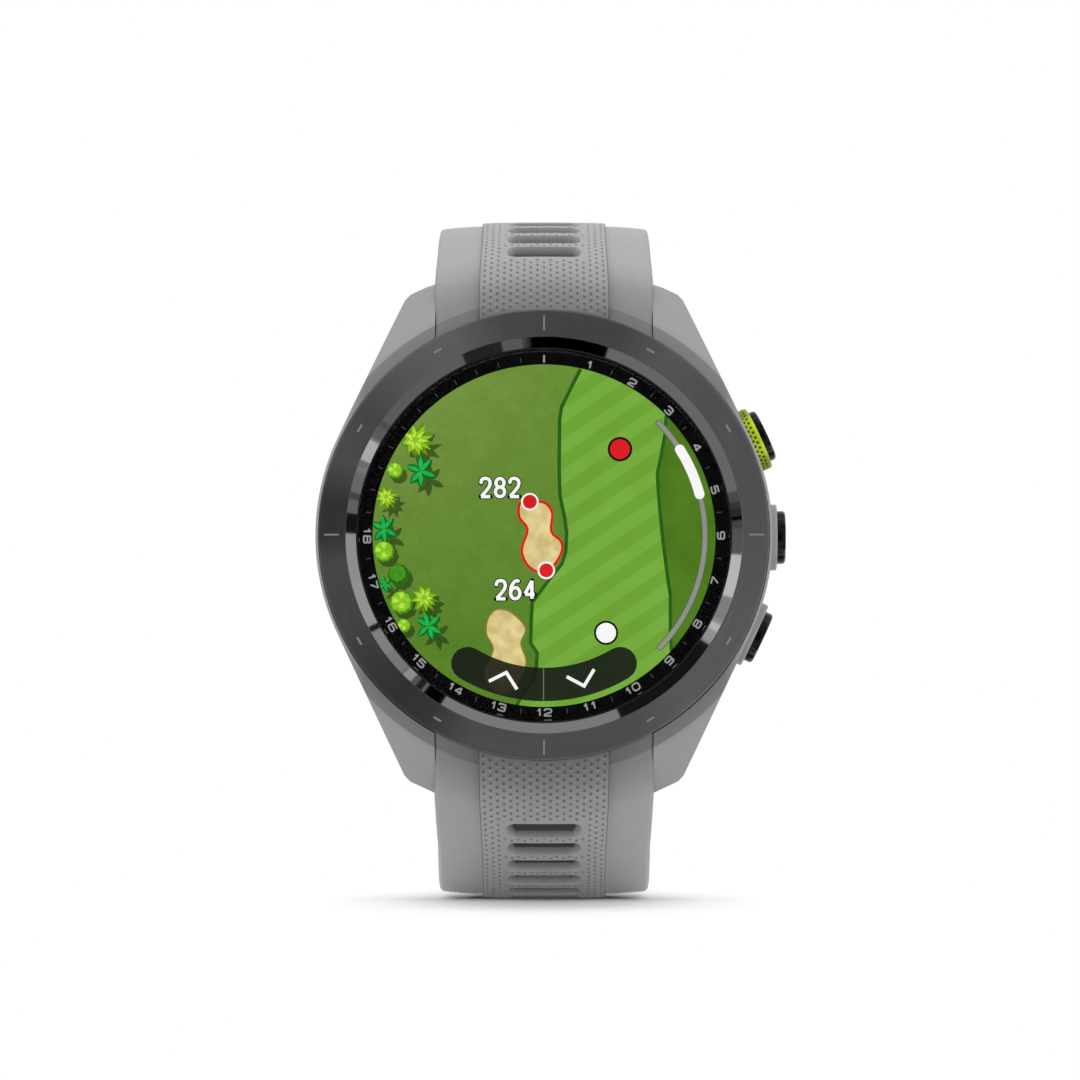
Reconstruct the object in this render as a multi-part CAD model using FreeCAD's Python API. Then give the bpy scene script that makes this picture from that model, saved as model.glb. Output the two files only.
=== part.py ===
import FreeCAD, Part
import math, os

# Golf GPS wrist watch, 42 mm case, 20 mm strap. Millimetres.
# Frame: the dial faces -Y, +Z points to 12 o'clock, +X to the buttons.
# Origin: centre of the display glass's outer face.

os.makedirs("parts", exist_ok=True)

# ---------------------------------------------------------------- dimensions
CASE_R = 21.0          # case side
CAVITY_R = 18.9        # inner wall of the case ring
CASE_BACK_Y = 9.4      # plane where the rear cover seats
SEAT_Y = 1.3           # ledge that carries the bezel
COLLAR_R = 20.75       # case rim round the bezel
CONE_R, CONE_Y = 21.9, 2.0      # outer edge of the steep cone
LUG_R, LUG_Y = 26.5, 5.6        # shallower cone of the lug fronts
LUG_GAP = 20.1         # space between the lugs
BEZEL_R = 20.65
BEZEL_TOP = -0.7
BEZEL_IN = 17.25
GLASS_R, GLASS_T = 17.1, 1.2
MASK_IN = 15.75
BAR_Y, BAR_Z = 6.3, 21.9        # strap bar axis
BAR_TIP_R = 0.5
STRAP_W = 19.9
PANEL_W = 11.7
STRAP_T = 3.0
PANEL_H = 0.55         # panel above the strap's shoulders
BTN_Y = 5.0            # button axis depth
BTN_ANGLES = {"upper": 65.0, "middle": 90.0, "lower": 115.0}
CAP_R = 2.45
CAP_TRAVEL = 0.55
STEM_R = 1.0
SLOT_LEN, SLOT_W, SLOT_PITCH, SLOT_DEPTH = 7.0, 1.6, 2.3, 0.9

V = FreeCAD.Vector
out = {}


def keep(name, shape):
    out[name] = shape


def rev(pts):
    """Solid of revolution about the Y axis from (r, y) points."""
    p = [V(r, y, 0) for r, y in pts]
    p.append(p[0])
    f = Part.Face(Part.makePolygon(p))
    return f.revolve(V(0, 0, 0), V(0, 1, 0), 360)


def ring(r0, r1, y0, y1):
    return rev([(r0, y0), (r1, y0), (r1, y1), (r0, y1)])


def disc(r, y0, y1, x=0, z=0):
    return Part.makeCylinder(r, y1 - y0, V(x, y0, z), V(0, 1, 0))


def box(x0, x1, y0, y1, z0, z1):
    return Part.makeBox(x1 - x0, y1 - y0, z1 - z0, V(x0, y0, z0))


def prism(pts, y0, y1):
    """Extrude an (x, z) polygon along Y."""
    p = [V(x, y0, z) for x, z in pts]
    p.append(p[0])
    return Part.Face(Part.makePolygon(p)).extrude(V(0, y1 - y0, 0))


def cyl(r, a, b):
    """Cylinder between two points."""
    a, b = V(*a), V(*b)
    return Part.makeCylinder(r, (b - a).Length, a, b - a)


def tube(r0, r1, a, b):
    return cyl(r1, a, b).cut(cyl(r0, a, b))


def turn(s, deg):
    """Turn a shape about the Y axis to a clock angle."""
    s = s.copy()
    s.rotate(V(0, 0, 0), V(0, 1, 0), deg)
    return s


def mirz(s):
    return s.mirror(V(0, 0, 0), V(0, 0, 1))


def fuse(shapes):
    s = shapes[0]
    for o in shapes[1:]:
        s = s.fuse(o)
    return s.removeSplitter()


def group(shapes):
    return Part.makeCompound(shapes)


# ---------------------------------------------------------------- case ring
body = rev([(CAVITY_R, CASE_BACK_Y), (CAVITY_R, SEAT_Y), (COLLAR_R, SEAT_Y), (COLLAR_R, 0.45),
            (CONE_R, CONE_Y), (LUG_R, LUG_Y), (LUG_R, CASE_BACK_Y)])
lug_pts = [(10.05, 9.0), (10.05, 23.65), (12.4, 22.55), (12.9, 22.0), (19.0, 8.93), (17.0, 6.5)]
plan = disc(CASE_R, -1, CASE_BACK_Y + 1)
for sx in (1, -1):
    for sz in (1, -1):
        plan = plan.fuse(prism([(sx * x, sz * z) for x, z in lug_pts], -1, CASE_BACK_Y + 1))
plan = plan.removeSplitter()
case = body.common(plan)
# rear edge of ring and lugs is chamfered all round by a cone
case = case.common(rev([(0, -1), (27, -1), (27, 7.9), (20.1, CASE_BACK_Y), (0, CASE_BACK_Y)]))
# lug tips drop to a bevel at the end
for sz in (1, -1):
    tip = Part.Face(Part.makePolygon([V(-30, 3.2, sz * 22.6), V(-30, 8.0, sz * 24.3), V(-30, 3.2, sz * 27.5),
                                      V(-30, 3.2, sz * 22.6)])).extrude(V(60, 0, 0))
    case = case.cut(tip)
# strap slots between the lugs, with a round seat for each strap end
for sz in (1, -1):
    slot = box(-LUG_GAP / 2, LUG_GAP / 2, -1, 11, 0, 27).cut(disc(20.66, -2, 12))
    slot = slot.fuse(Part.makeCylinder(2.3, LUG_GAP, V(-LUG_GAP / 2, BAR_Y, BAR_Z), V(1, 0, 0)))
    if sz < 0:
        slot = mirz(slot)
    case = case.cut(slot)
    # bar holes in the lugs, blind
    z = sz * BAR_Z
    for sx in (1, -1):
        case = case.cut(cyl(BAR_TIP_R + 0.05, (sx * 10.0, BAR_Y, z), (sx * 11.35, BAR_Y, z)))

# button collars and bores
def at_button(shape, which):
    return turn(shape, BTN_ANGLES[which])

for which in ("middle", "lower"):
    c = cyl(3.05, (0, BTN_Y, 19.3), (0, BTN_Y, 21.5))
    c = c.makeFillet(0.15, [x for x in c.Edges if isinstance(x.Curve, Part.Circle) and abs(x.CenterOfMass.z - 21.5) < 1e-4])
    case = case.fuse(at_button(c, which))
for which in BTN_ANGLES:
    seat_r = 2.62 if which != "upper" else 3.02
    cut = fuse([cyl(1.62, (0, BTN_Y, 17.5), (0, BTN_Y, 21.0)), cyl(seat_r, (0, BTN_Y, 20.5), (0, BTN_Y, 24))])
    case = case.cut(at_button(cut, which))
# four screw bosses inside the ring
BOSS_R = 17.55
for a in (42, 138, 222, 318):
    b = disc(1.6, 6.4, CASE_BACK_Y, 0, BOSS_R)
    b = b.cut(disc(0.52, 6.9, CASE_BACK_Y + 1, 0, BOSS_R))
    case = case.fuse(turn(b, a))
# groove for the rear seal
case = case.cut(ring(19.25, 19.85, 9.0, 9.6))
case = case.removeSplitter()
keep("case_middle", case)

# ---------------------------------------------------------------- bezel
bezel = rev([(BEZEL_IN, -0.02), (18.2, BEZEL_TOP), (20.48, BEZEL_TOP), (20.62, -0.58), (BEZEL_R, -0.3), (BEZEL_R, 1.2),
             (19.95, 1.2), (19.95, 0.85), (19.25, 0.85), (19.25, 1.2), (18.7, 1.2), (18.7, 2.6),
             (17.9, 2.6), (17.9, 1.95), (16.75, 1.95), (16.75, 1.32), (BEZEL_IN, 1.32)])
marks, pockets = [], []
for i in range(12):
    if i % 3 == 0:
        w, h, r = 0.16, 1.38, 19.46
    else:
        w, h, r = 0.78, 0.2, 19.5
    pockets.append(turn(box(-w / 2, w / 2, BEZEL_TOP - 0.2, BEZEL_TOP + 0.06, r - h / 2, r + h / 2), 30 * i))
    g = 0.01
    marks.append(turn(box(-w / 2 + g, w / 2 - g, BEZEL_TOP + 0.005, BEZEL_TOP + 0.055, r - h / 2 + g, r + h / 2 - g), 30 * i))
keep("bezel", bezel.cut(group(pockets)))
keep("bezel_index_marks", group(marks))
keep("bezel_seal", ring(19.3, 19.9, 0.87, 1.29))

# ---------------------------------------------------------------- glass and display
keep("display_glass", rev([(0, 0), (GLASS_R - 0.15, 0), (GLASS_R, 0.15), (GLASS_R, GLASS_T), (0, GLASS_T)]))
keep("glass_seal", ring(GLASS_R + 0.01, BEZEL_IN - 0.01, 0.3, GLASS_T))
keep("dial_mask_ring", ring(MASK_IN, 17.05, GLASS_T + 0.01, 1.3))
keep("display_panel", disc(16.3, 1.36, 2.0))
frame_plate = disc(16.55, 2.05, 2.55).cut(box(-9, 9, 1.9, 2.7, 2, 10)).cut(box(-9, 9, 1.9, 2.7, -10, -2))
frame_plate = frame_plate.fuse(ring(16.1, 16.55, 2.5, 3.1))
keep("display_frame", frame_plate.removeSplitter())
keep("display_flex", fuse([box(-2.5, 2.5, 2.62, 2.74, -13.12, -10.6), box(-2.5, 2.5, 2.62, 4.95, -13.12, -13.0)]))
ant = ring(17.0, 18.6, 2.75, 3.6).cut(box(-1.2, 1.2, 2, 5, 16, 19))
keep("gps_antenna_ring", ant)

# ---------------------------------------------------------------- electronics
board = disc(16.1, 5.0, 5.8)
for a in (42, 138, 222, 318):
    board = board.cut(turn(disc(1.9, 4, 7, 0, BOSS_R), a))
keep("main_board", board)
can = box(-7.5, 7.5, 3.5, 4.98, -3, 9).cut(box(-7.3, 7.3, 3.7, 5.2, -2.8, 8.8))
keep("shield_can", can)
keep("processor_chip", box(-3.5, 3.5, 4.1, 4.98, 0, 7))
keep("gnss_chip", box(-12.6, -8.6, 4.1, 4.98, -4, 0))
keep("pressure_sensor", box(9.2, 11.2, 4.1, 4.98, -6.5, -4.5))
batt = prism([(-11, -8), (-8, -11), (11, -11), (11, 8), (8, 11), (-11, 11)], 6.0, 9.1)
keep("battery", batt.removeSplitter())
keep("vibration_motor", cyl(1.6, (-13.2, 7.6, -4.5), (-13.2, 7.6, 4.5)))
flex_arc = ring(16.2, 16.32, 3.7, 6.3)
wedge = prism([(0, 0)] + [(40 * math.sin(math.radians(a)), 40 * math.cos(math.radians(a))) for a in (56, 79, 101, 124)], 0, 12)
keep("switch_flex", flex_arc.common(wedge))
sw = []
for which in BTN_ANGLES:
    s = box(-1.6, 1.6, 4.0, 6.0, 16.45, 17.15).fuse(cyl(0.7, (0, BTN_Y, 17.1), (0, BTN_Y, 17.33))).removeSplitter()
    sw.append(at_button(s, which))
keep("tact_switches", group(sw))

# ---------------------------------------------------------------- rear cover
COVER_Y = 10.6
cover = rev([(0, 9.42), (20.0, 9.42), (19.2, 10.25), (18.4, COVER_Y), (0, COVER_Y)])
cover = cover.cut(disc(8.3, 9, 11)).cut(ring(0, 9.3, 9.0, 9.9))
sock = box(-3.3, 3.3, 9, 11, -14.4, -11.6)
cover = cover.cut(box(-3.3, 3.3, 9.9, 11, -14.4, -11.6))
for x in (-2.1, -0.7, 0.7, 2.1):
    cover = cover.cut(disc(0.45, 9, 11, x, -13.0))
for a in (42, 138, 222, 318):
    cover = cover.cut(turn(fuse([disc(0.62, 9, 11, 0, BOSS_R), disc(1.1, 10.05, 11, 0, BOSS_R)]), a))
keep("rear_cover", cover)
keep("rear_cover_seal", ring(19.3, 19.8, 9.02, 9.41))
screws = []
for a in (42, 138, 222, 318):
    s = fuse([disc(0.5, 7.2, 10.1, 0, BOSS_R), disc(1.02, 10.07, 10.5, 0, BOSS_R)])
    s = s.cut(box(-0.15, 0.15, 10.3, 11, BOSS_R - 0.7, BOSS_R + 0.7)).cut(box(-0.7, 0.7, 10.3, 11, BOSS_R - 0.15, BOSS_R + 0.15))
    screws.append(turn(s, a))
keep("rear_cover_screws", group(screws))
# domed optical window
R_DOME = 40.0
yc = 11.2 - R_DOME
dome = Part.makeSphere(R_DOME, V(0, yc, 0)).common(disc(8.2, 10.05, 12))
flange = disc(9.2, 9.93, 10.06)
win = disc(8.2, 9.93, 10.2).fuse(dome).removeSplitter()
keep("sensor_window", win)
keep("optical_sensor_board", disc(9.1, 9.25, 9.6))
dio = [disc(1.1, 9.62, 9.9, 0, 0)]
for k in range(4):
    a = math.radians(45 + 90 * k)
    dio.append(box(4.4 * math.sin(a) - 1.3, 4.4 * math.sin(a) + 1.3, 9.62, 9.9, 4.4 * math.cos(a) - 1.3, 4.4 * math.cos(a) + 1.3))
keep("sensor_diodes", group(dio))
keep("charge_contacts", group([fuse([disc(0.4, 9.3, 10.2, x, -13.0), disc(0.6, 9.28, 9.4, x, -13.0)]) for x in (-2.1, -0.7, 0.7, 2.1)]))

# ---------------------------------------------------------------- buttons
bushes, rings_o = [], []
for which in BTN_ANGLES:
    b = tube(STEM_R + 0.06, 1.6, (0, BTN_Y, 18.62), (0, BTN_Y, 20.45))
    b = b.cut(tube(0.9, 1.4, (0, BTN_Y, 19.3), (0, BTN_Y, 19.8)))
    bushes.append(at_button(b, which))
    o = tube(STEM_R + 0.02, 1.38, (0, BTN_Y, 19.35), (0, BTN_Y, 19.75))
    rings_o.append(at_button(o, which))
    top = 22.3 if which != "upper" else 22.65
    head = cyl(CAP_R, (0, BTN_Y, 21.28), (0, BTN_Y, top))
    edges = [e for e in head.Edges if isinstance(e.Curve, Part.Circle) and abs(e.CenterOfMass.z - top) < 1e-4]
    head = head.makeFillet(0.3, edges)
    stem = cyl(STEM_R, (0, BTN_Y, 17.92), (0, BTN_Y, 21.4)).cut(tube(0.75, 1.2, (0, BTN_Y, 18.2), (0, BTN_Y, 18.56)))
    keep(which + "_button_cap", at_button(fuse([head, stem]), which))
    clip = tube(0.77, 1.45, (0, BTN_Y, 18.22), (0, BTN_Y, 18.52)).cut(box(-0.6, 0.6, BTN_Y - 2, BTN_Y, 18, 19))
    keep(which + "_button_clip", at_button(clip, which))
    # wave spring: thin rings joined by small crests
    s0, s1 = 20.52, 21.26
    n = 4
    parts = []
    t = 0.1
    step = (s1 - s0 - t) / (n - 1)
    for k in range(n):
        z0 = s0 + k * step
        parts.append(tube(1.72, 2.2, (0, BTN_Y, z0), (0, BTN_Y, z0 + t)))
        if k < n - 1:
            for q in range(2):
                ang = math.radians(q * 180 + (k % 2) * 90)
                cx, cy = 1.96 * math.cos(ang), BTN_Y + 1.96 * math.sin(ang)
                parts.append(box(cx - 0.16, cx + 0.16, cy - 0.16, cy + 0.16, z0 + t / 2, z0 + step + t / 2))
    keep(which + "_button_spring", at_button(fuse(parts), which))
keep("button_bushes", group(bushes))
keep("button_o_rings", group(rings_o))
acc = tube(2.56, 3.0, (0, BTN_Y, 20.55), (0, BTN_Y, 21.95))
e = [x for x in acc.Edges if isinstance(x.Curve, Part.Circle) and abs(x.CenterOfMass.z - 21.95) < 1e-4 and x.Curve.Radius > 2.8]
acc = acc.makeFillet(0.15, e)
keep("button_accent_ring", at_button(acc, "upper"))

# ---------------------------------------------------------------- straps
# A strap's outer surface is a chain in the (y, z) plane: ("S", start slope in degrees from the dial plane),
# then ("L", length) or ("A", radius, turn in degrees).
START = (0.45, 21.1)
UP = [("S", 41.0), ("L", 5.0), ("A", 15.9, 49.0), ("A", 45.0, 43.0), ("L", 20.0)]
LOW = [("S", 36.5), ("L", 6.8), ("A", 21.0, 25.0), ("A", 8.0, 28.5), ("L", 37.5), ("A", 40.0, 50.0), ("L", 18.0)]
SLOT_START = 6.74


def chain(segs, off):
    """Edges of the chain moved inwards by off, with start and end points."""
    y, z = START
    phi = math.radians(segs[0][1])
    pts, edges = [], []

    def P(y, z, phi, o):
        # inward normal: towards the wrist
        return V(0, y + o * math.cos(phi), z - o * math.sin(phi))

    pts.append(P(y, z, phi, off))
    for s in segs[1:]:
        if s[0] == "L":
            y2, z2 = y + s[1] * math.sin(phi), z + s[1] * math.cos(phi)
            a, b = P(y, z, phi, off), P(y2, z2, phi, off)
            edges.append(Part.LineSegment(a, b))
            y, z = y2, z2
        else:
            R, t = s[1], math.radians(s[2])

            def q(p2):
                return (y + R * (math.cos(phi) - math.cos(p2)), z + R * (math.sin(p2) - math.sin(phi)))
            pm, pe = phi + t / 2, phi + t
            ym, zm = q(pm)
            ye, ze = q(pe)
            a, m, b = P(y, z, phi, off), P(ym, zm, pm, off), P(ye, ze, pe, off)
            edges.append(Part.Arc(a, m, b))
            y, z, phi = ye, ze, pe
        pts.append(b)
    return edges, pts, (y, z, math.degrees(phi))


def at(segs, s, off=0.0):
    """Point and direction at arc length s."""
    y, z = START
    phi = math.radians(segs[0][1])
    for sg in segs[1:]:
        L = sg[1] if sg[0] == "L" else sg[1] * math.radians(sg[2])
        d = min(s, L)
        if sg[0] == "L":
            y, z = y + d * math.sin(phi), z + d * math.cos(phi)
        else:
            p2 = phi + d / sg[1]
            y, z = y + sg[1] * (math.cos(phi) - math.cos(p2)), z + sg[1] * (math.sin(p2) - math.sin(phi))
            phi = p2
        s -= d
        if s <= 1e-9:
            break
    return y + off * math.cos(phi), z - off * math.sin(phi), phi


def band(segs, o0, o1, half):
    e0, p0, _ = chain(segs, o0)
    e1, p1, _ = chain(segs, o1)
    shapes = [g.toShape() for g in e0] + [Part.LineSegment(p0[-1], p1[-1]).toShape()]
    shapes += [g.toShape() for g in e1] + [Part.LineSegment(p0[0], p1[0]).toShape()]
    w = Part.Wire(Part.sortEdges(shapes)[0])
    f = Part.Face(w)
    f.translate(V(-half, 0, 0))
    return f.extrude(V(2 * half, 0, 0))


def place(segs, s, shape, off=0.0):
    y, z, phi = at(segs, s, off)
    # rotate about X so that local +Y becomes the strap direction, then move
    sh = shape.copy()
    ang = math.degrees(math.atan2(math.cos(phi), math.sin(phi)))
    sh.rotate(V(0, 0, 0), V(1, 0, 0), ang)
    sh.translate(V(0, y, z))
    return sh


def strap(segs, holes, slots, tongue, flip):
    base = band(segs, PANEL_H, STRAP_T, STRAP_W / 2)
    panel = band(segs, 0.0, STRAP_T - 0.3, PANEL_W / 2)
    s = base.fuse(panel)
    # strap end: nose up to the case and a barrel round the bar
    barrel = Part.makeCylinder(2.12, STRAP_W, V(-STRAP_W / 2, BAR_Y, BAR_Z), V(1, 0, 0))
    nose = Part.Face(Part.makePolygon([V(0, START[0], START[1]), V(0, BAR_Y - 0.2, BAR_Z - 2.05), V(0, BAR_Y + 2.0, BAR_Z),
                                       V(0, BAR_Y + 1.6, BAR_Z + 1.3), V(0, *at(segs, 4.4)[:2]), V(0, START[0], START[1])]))
    nose.translate(V(-PANEL_W / 2, 0, 0))
    nose_c = nose.extrude(V(PANEL_W, 0, 0))
    nose2 = Part.Face(Part.makePolygon([V(0, START[0] + 0.55, START[1] - 0.3), V(0, BAR_Y - 0.2, BAR_Z - 2.05), V(0, BAR_Y + 2.0, BAR_Z),
                                        V(0, BAR_Y + 1.6, BAR_Z + 1.3), V(0, *at(segs, 4.4, PANEL_H)[:2]),
                                        V(0, START[0] + 0.55, START[1] - 0.3)]))
    nose2.translate(V(-STRAP_W / 2, 0, 0))
    nose_s = nose2.extrude(V(STRAP_W, 0, 0))
    s = fuse([s, barrel, nose_c, nose_s])
    # clear of the case ring, its groove and the bezel, and cut to the case's cone beside the panel
    s = s.cut(ring(10, 20.85, -3, 4.2))
    grow = disc(20.85, 3.9, 14).cut(Part.makeCylinder(2.12, 60, V(-30, BAR_Y, BAR_Z), V(1, 0, 0)))
    s = s.cut(grow)
    cone = rev([(0, -3), (30, -3), (30, 5.0), (LUG_R, LUG_Y - 0.2), (CONE_R, CONE_Y), (20.7, 0.4), (0, 0.4)])
    side = box(-11, 11, -4, 12, 10, 40).cut(box(-PANEL_W / 2, PANEL_W / 2, -5, 13, 9, 41))
    near = rev([(0, -3), (24.2, -3), (24.2, 3.78), (CONE_R, CONE_Y), (20.7, 0.4), (0, 0.4)])
    s = s.cut(near.common(side))
    for k in range(slots):
        c = box(-SLOT_LEN / 2 + SLOT_W / 2, SLOT_LEN / 2 - SLOT_W / 2, 0, SLOT_W, -SLOT_DEPTH, 1)
        for sx in (-1, 1):
            c = c.fuse(Part.makeCylinder(SLOT_W / 2, SLOT_DEPTH + 1, V(sx * (SLOT_LEN / 2 - SLOT_W / 2), SLOT_W / 2, -SLOT_DEPTH), V(0, 0, 1)))
        s = s.cut(place(segs, SLOT_START + k * SLOT_PITCH, c))
    for h in holes:
        c = Part.makeCylinder(1.15, 8, V(0, 0, -5), V(0, 0, 1))
        s = s.cut(place(segs, h, c))
    return s


def total(segs):
    return sum(g[1] if g[0] == "L" else g[1] * math.radians(g[2]) for g in segs[1:])


LU, LL = total(UP), total(LOW)
print("strap lengths", round(LU, 2), round(LL, 2))

# bar parts, common to both straps
def bar_cuts(s):
    s = s.cut(cyl(0.92, (-12, BAR_Y, BAR_Z), (12, BAR_Y, BAR_Z)))
    s = s.cut(box(5.2, 8.2, BAR_Y, BAR_Y + 4, BAR_Z - 0.75, BAR_Z + 0.75))
    return s


bar_tube = tube(0.62, 0.9, (-9.7, BAR_Y, BAR_Z), (9.7, BAR_Y, BAR_Z))
bar_tube = bar_tube.fuse(cyl(0.62, (-9.7, BAR_Y, BAR_Z), (-6.0, BAR_Y, BAR_Z))).fuse(cyl(BAR_TIP_R, (-11.2, BAR_Y, BAR_Z), (-9.0, BAR_Y, BAR_Z)))
bar_tube = bar_tube.cut(box(5.3, 8.1, BAR_Y, BAR_Y + 2, BAR_Z - 0.65, BAR_Z + 0.65)).removeSplitter()
plunger = fuse([cyl(BAR_TIP_R, (5.0, BAR_Y, BAR_Z), (11.2, BAR_Y, BAR_Z)), cyl(0.58, (6.0, BAR_Y, BAR_Z), (8.9, BAR_Y, BAR_Z)),
                cyl(0.5, (7.4, BAR_Y, BAR_Z), (7.4, BAR_Y + 2.75, BAR_Z))])
sp = []
for k in range(6):
    x0 = -2.0 + k * (4.9 + 2.0 - 0.25) / 5.0
    sp.append(tube(0.3, 0.55, (x0, BAR_Y, BAR_Z), (x0 + 0.25, BAR_Y, BAR_Z)))
    if k < 5:
        yy = BAR_Y + (0.42 if k % 2 else -0.42)
        sp.append(box(x0 + 0.1, x0 + 1.45, yy - 0.1, yy + 0.1, BAR_Z - 0.12, BAR_Z + 0.12))
bar_spring = fuse(sp)

up = strap(UP, [], 8, True, False)
up = bar_cuts(up)
# rounded strap end round the buckle bar, with a slot for the tongue
S_BAR = LU - 2.2
yb, zb, phib = at(UP, S_BAR, STRAP_T / 2 + 0.2)
BUCKLE = (yb, zb)
up = up.cut(cyl(0.82, (-12, yb, zb), (12, yb, zb)))
up = up.cut(place(UP, S_BAR, box(-1.4, 1.4, -1.9, 5, -6, 4)))
keep("upper_strap", up.removeSplitter())

low = strap(LOW, [LL - 7.5 - 6.2 * k for k in range(9)], 8, False, True)
low = bar_cuts(low)
# rounded tail
tail = place(LOW, LL, box(-15, 15, -9.9, 5, -6, 4).cut(Part.makeCylinder(9.95, 12, V(0, -9.95, -7), V(0, 0, 1))))
low = low.cut(tail)
keep("lower_strap", mirz(low.removeSplitter()))

keep("upper_bar_tube", bar_tube)
keep("upper_bar_plunger", plunger)
keep("upper_bar_spring", bar_spring)
keep("lower_bar_tube", mirz(bar_tube))
keep("lower_bar_plunger", mirz(plunger))
keep("lower_bar_spring", mirz(bar_spring))

# ---------------------------------------------------------------- buckle and keepers
# local axes: x width, y along the strap from the bar, z outward
def at_bar(shape):
    sh = shape.copy()
    ang = math.degrees(math.atan2(math.cos(phib), math.sin(phib)))
    sh.rotate(V(0, 0, 0), V(1, 0, 0), ang)
    sh.translate(V(0, yb, zb))
    return sh


BK_LEN = 10.4
arm_o, arm_i = 12.1, 10.35
outer = fuse([box(-arm_o, arm_o, 0, BK_LEN - 2, -1.1, 1.1), box(-arm_o + 2, arm_o - 2, BK_LEN - 2.2, BK_LEN, -1.1, 1.1),
              Part.makeCylinder(2.0, 2.2, V(arm_o - 2, BK_LEN - 2, -1.1), V(0, 0, 1)),
              Part.makeCylinder(2.0, 2.2, V(-arm_o + 2, BK_LEN - 2, -1.1), V(0, 0, 1)),
              cyl(1.1, (-arm_o, 0, 0), (arm_o, 0, 0))])
inner = box(-arm_i, arm_i, -3, BK_LEN - 2.0, -2, 2)
frame_b = outer.cut(inner).cut(cyl(0.76, (-13, 0, 0), (13, 0, 0)))
frame_b = frame_b.cut(box(-1.15, 1.15, BK_LEN - 2.4, BK_LEN + 1, 0.55, 2))
keep("buckle_frame", at_bar(frame_b.removeSplitter()))
keep("buckle_bar", at_bar(cyl(0.7, (-12.0, 0, 0), (12.0, 0, 0))))
tongue = fuse([tube(0.76, 1.35, (-1.05, 0, 0), (1.05, 0, 0)), box(-1.0, 1.0, 1.0, BK_LEN - 0.4, 0.65, 1.35)])
tongue = tongue.cut(cyl(0.76, (-2, 0, 0), (2, 0, 0)))
keep("buckle_tongue", at_bar(tongue))

S0 = LU - 20.0   # start of the straight end


def keeper(s_mid, width):
    o = box(-11.3, 11.3, -width / 2, width / 2, -STRAP_T - 1.35, 3.9)
    i = box(-10.1, 10.1, -width, width, -STRAP_T - 0.15, 2.8)
    k = o.cut(i)
    edges = [e for e in k.Edges if abs(e.Vertexes[0].Point.x) > 11.2 and abs(e.Vertexes[-1].Point.x) > 11.2
             and abs(e.Vertexes[0].Point.y - e.Vertexes[-1].Point.y) > width * 0.9]
    k = k.makeFillet(1.0, edges)
    return place(UP, s_mid, k)


keep("fixed_keeper", keeper(S0 + 13.2, 4.6))
keep("sliding_keeper", keeper(S0 + 6.0, 4.6))

# ---------------------------------------------------------------- write
vol = 0.0
for name, shape in out.items():
    if not shape.isValid():
        print("INVALID", name)
    nb = len(shape.Solids)
    vol += shape.Volume
    shape.exportStep("parts/%s.step" % name)
    bb = shape.BoundBox
    print("%-24s solids %d vol %8.2f  x %.2f %.2f  y %.2f %.2f  z %.2f %.2f" % (name, nb, shape.Volume, bb.XMin, bb.XMax, bb.YMin, bb.YMax, bb.ZMin, bb.ZMax))
print("nodes", len(out), "volume", round(vol))
print("buckle bar", [round(v, 4) for v in BUCKLE], "phi", round(math.degrees(phib), 3), "S0", round(S0, 3))
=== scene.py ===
import bpy, bmesh, math
import numpy as np
from mathutils import Vector, Matrix


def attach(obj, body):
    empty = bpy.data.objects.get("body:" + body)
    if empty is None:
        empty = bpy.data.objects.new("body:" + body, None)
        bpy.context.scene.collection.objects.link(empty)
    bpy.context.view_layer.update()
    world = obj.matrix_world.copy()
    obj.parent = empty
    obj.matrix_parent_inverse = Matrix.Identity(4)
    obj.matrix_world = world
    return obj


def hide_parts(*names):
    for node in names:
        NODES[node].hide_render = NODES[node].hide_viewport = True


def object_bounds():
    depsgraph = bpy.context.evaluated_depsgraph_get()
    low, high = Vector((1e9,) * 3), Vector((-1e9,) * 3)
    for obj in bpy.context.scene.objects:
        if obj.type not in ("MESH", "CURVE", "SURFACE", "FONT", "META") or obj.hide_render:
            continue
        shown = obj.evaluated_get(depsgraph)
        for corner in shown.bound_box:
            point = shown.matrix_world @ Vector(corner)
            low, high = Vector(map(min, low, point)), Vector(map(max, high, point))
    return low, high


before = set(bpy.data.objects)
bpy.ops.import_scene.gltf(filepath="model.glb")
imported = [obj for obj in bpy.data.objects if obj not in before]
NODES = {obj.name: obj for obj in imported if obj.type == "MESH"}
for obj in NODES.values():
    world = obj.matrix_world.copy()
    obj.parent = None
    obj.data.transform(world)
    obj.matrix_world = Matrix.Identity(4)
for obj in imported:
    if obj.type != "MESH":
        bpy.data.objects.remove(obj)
CAD_LO, CAD_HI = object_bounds()
MM = 0.001
C = bpy.context.scene.collection

# ------------------------------------------------------------------ helpers


def lin(c):
    """sRGB 0-255 triple to linear."""
    o = []
    for v in c:
        v = v / 255.0
        o.append(v / 12.92 if v <= 0.04045 else ((v + 0.055) / 1.055) ** 2.4)
    return tuple(o)


def rgba(c):
    return (*lin(c), 1.0)


def obj_from(name, verts, faces, mats=(), face_mats=None, smooth=False, attr=None):
    me = bpy.data.meshes.new(name)
    me.from_pydata([tuple(v) for v in verts], [], [tuple(f) for f in faces])
    for m in mats:
        me.materials.append(m)
    if face_mats is not None:
        me.polygons.foreach_set("material_index", face_mats)
    if smooth:
        me.polygons.foreach_set("use_smooth", [True] * len(me.polygons))
    if attr is not None:
        a = me.attributes.new("pit_shading", "FLOAT", "POINT")
        a.data.foreach_set("value", attr)
    me.update()
    o = bpy.data.objects.new(name, me)
    C.objects.link(o)
    return o


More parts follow.
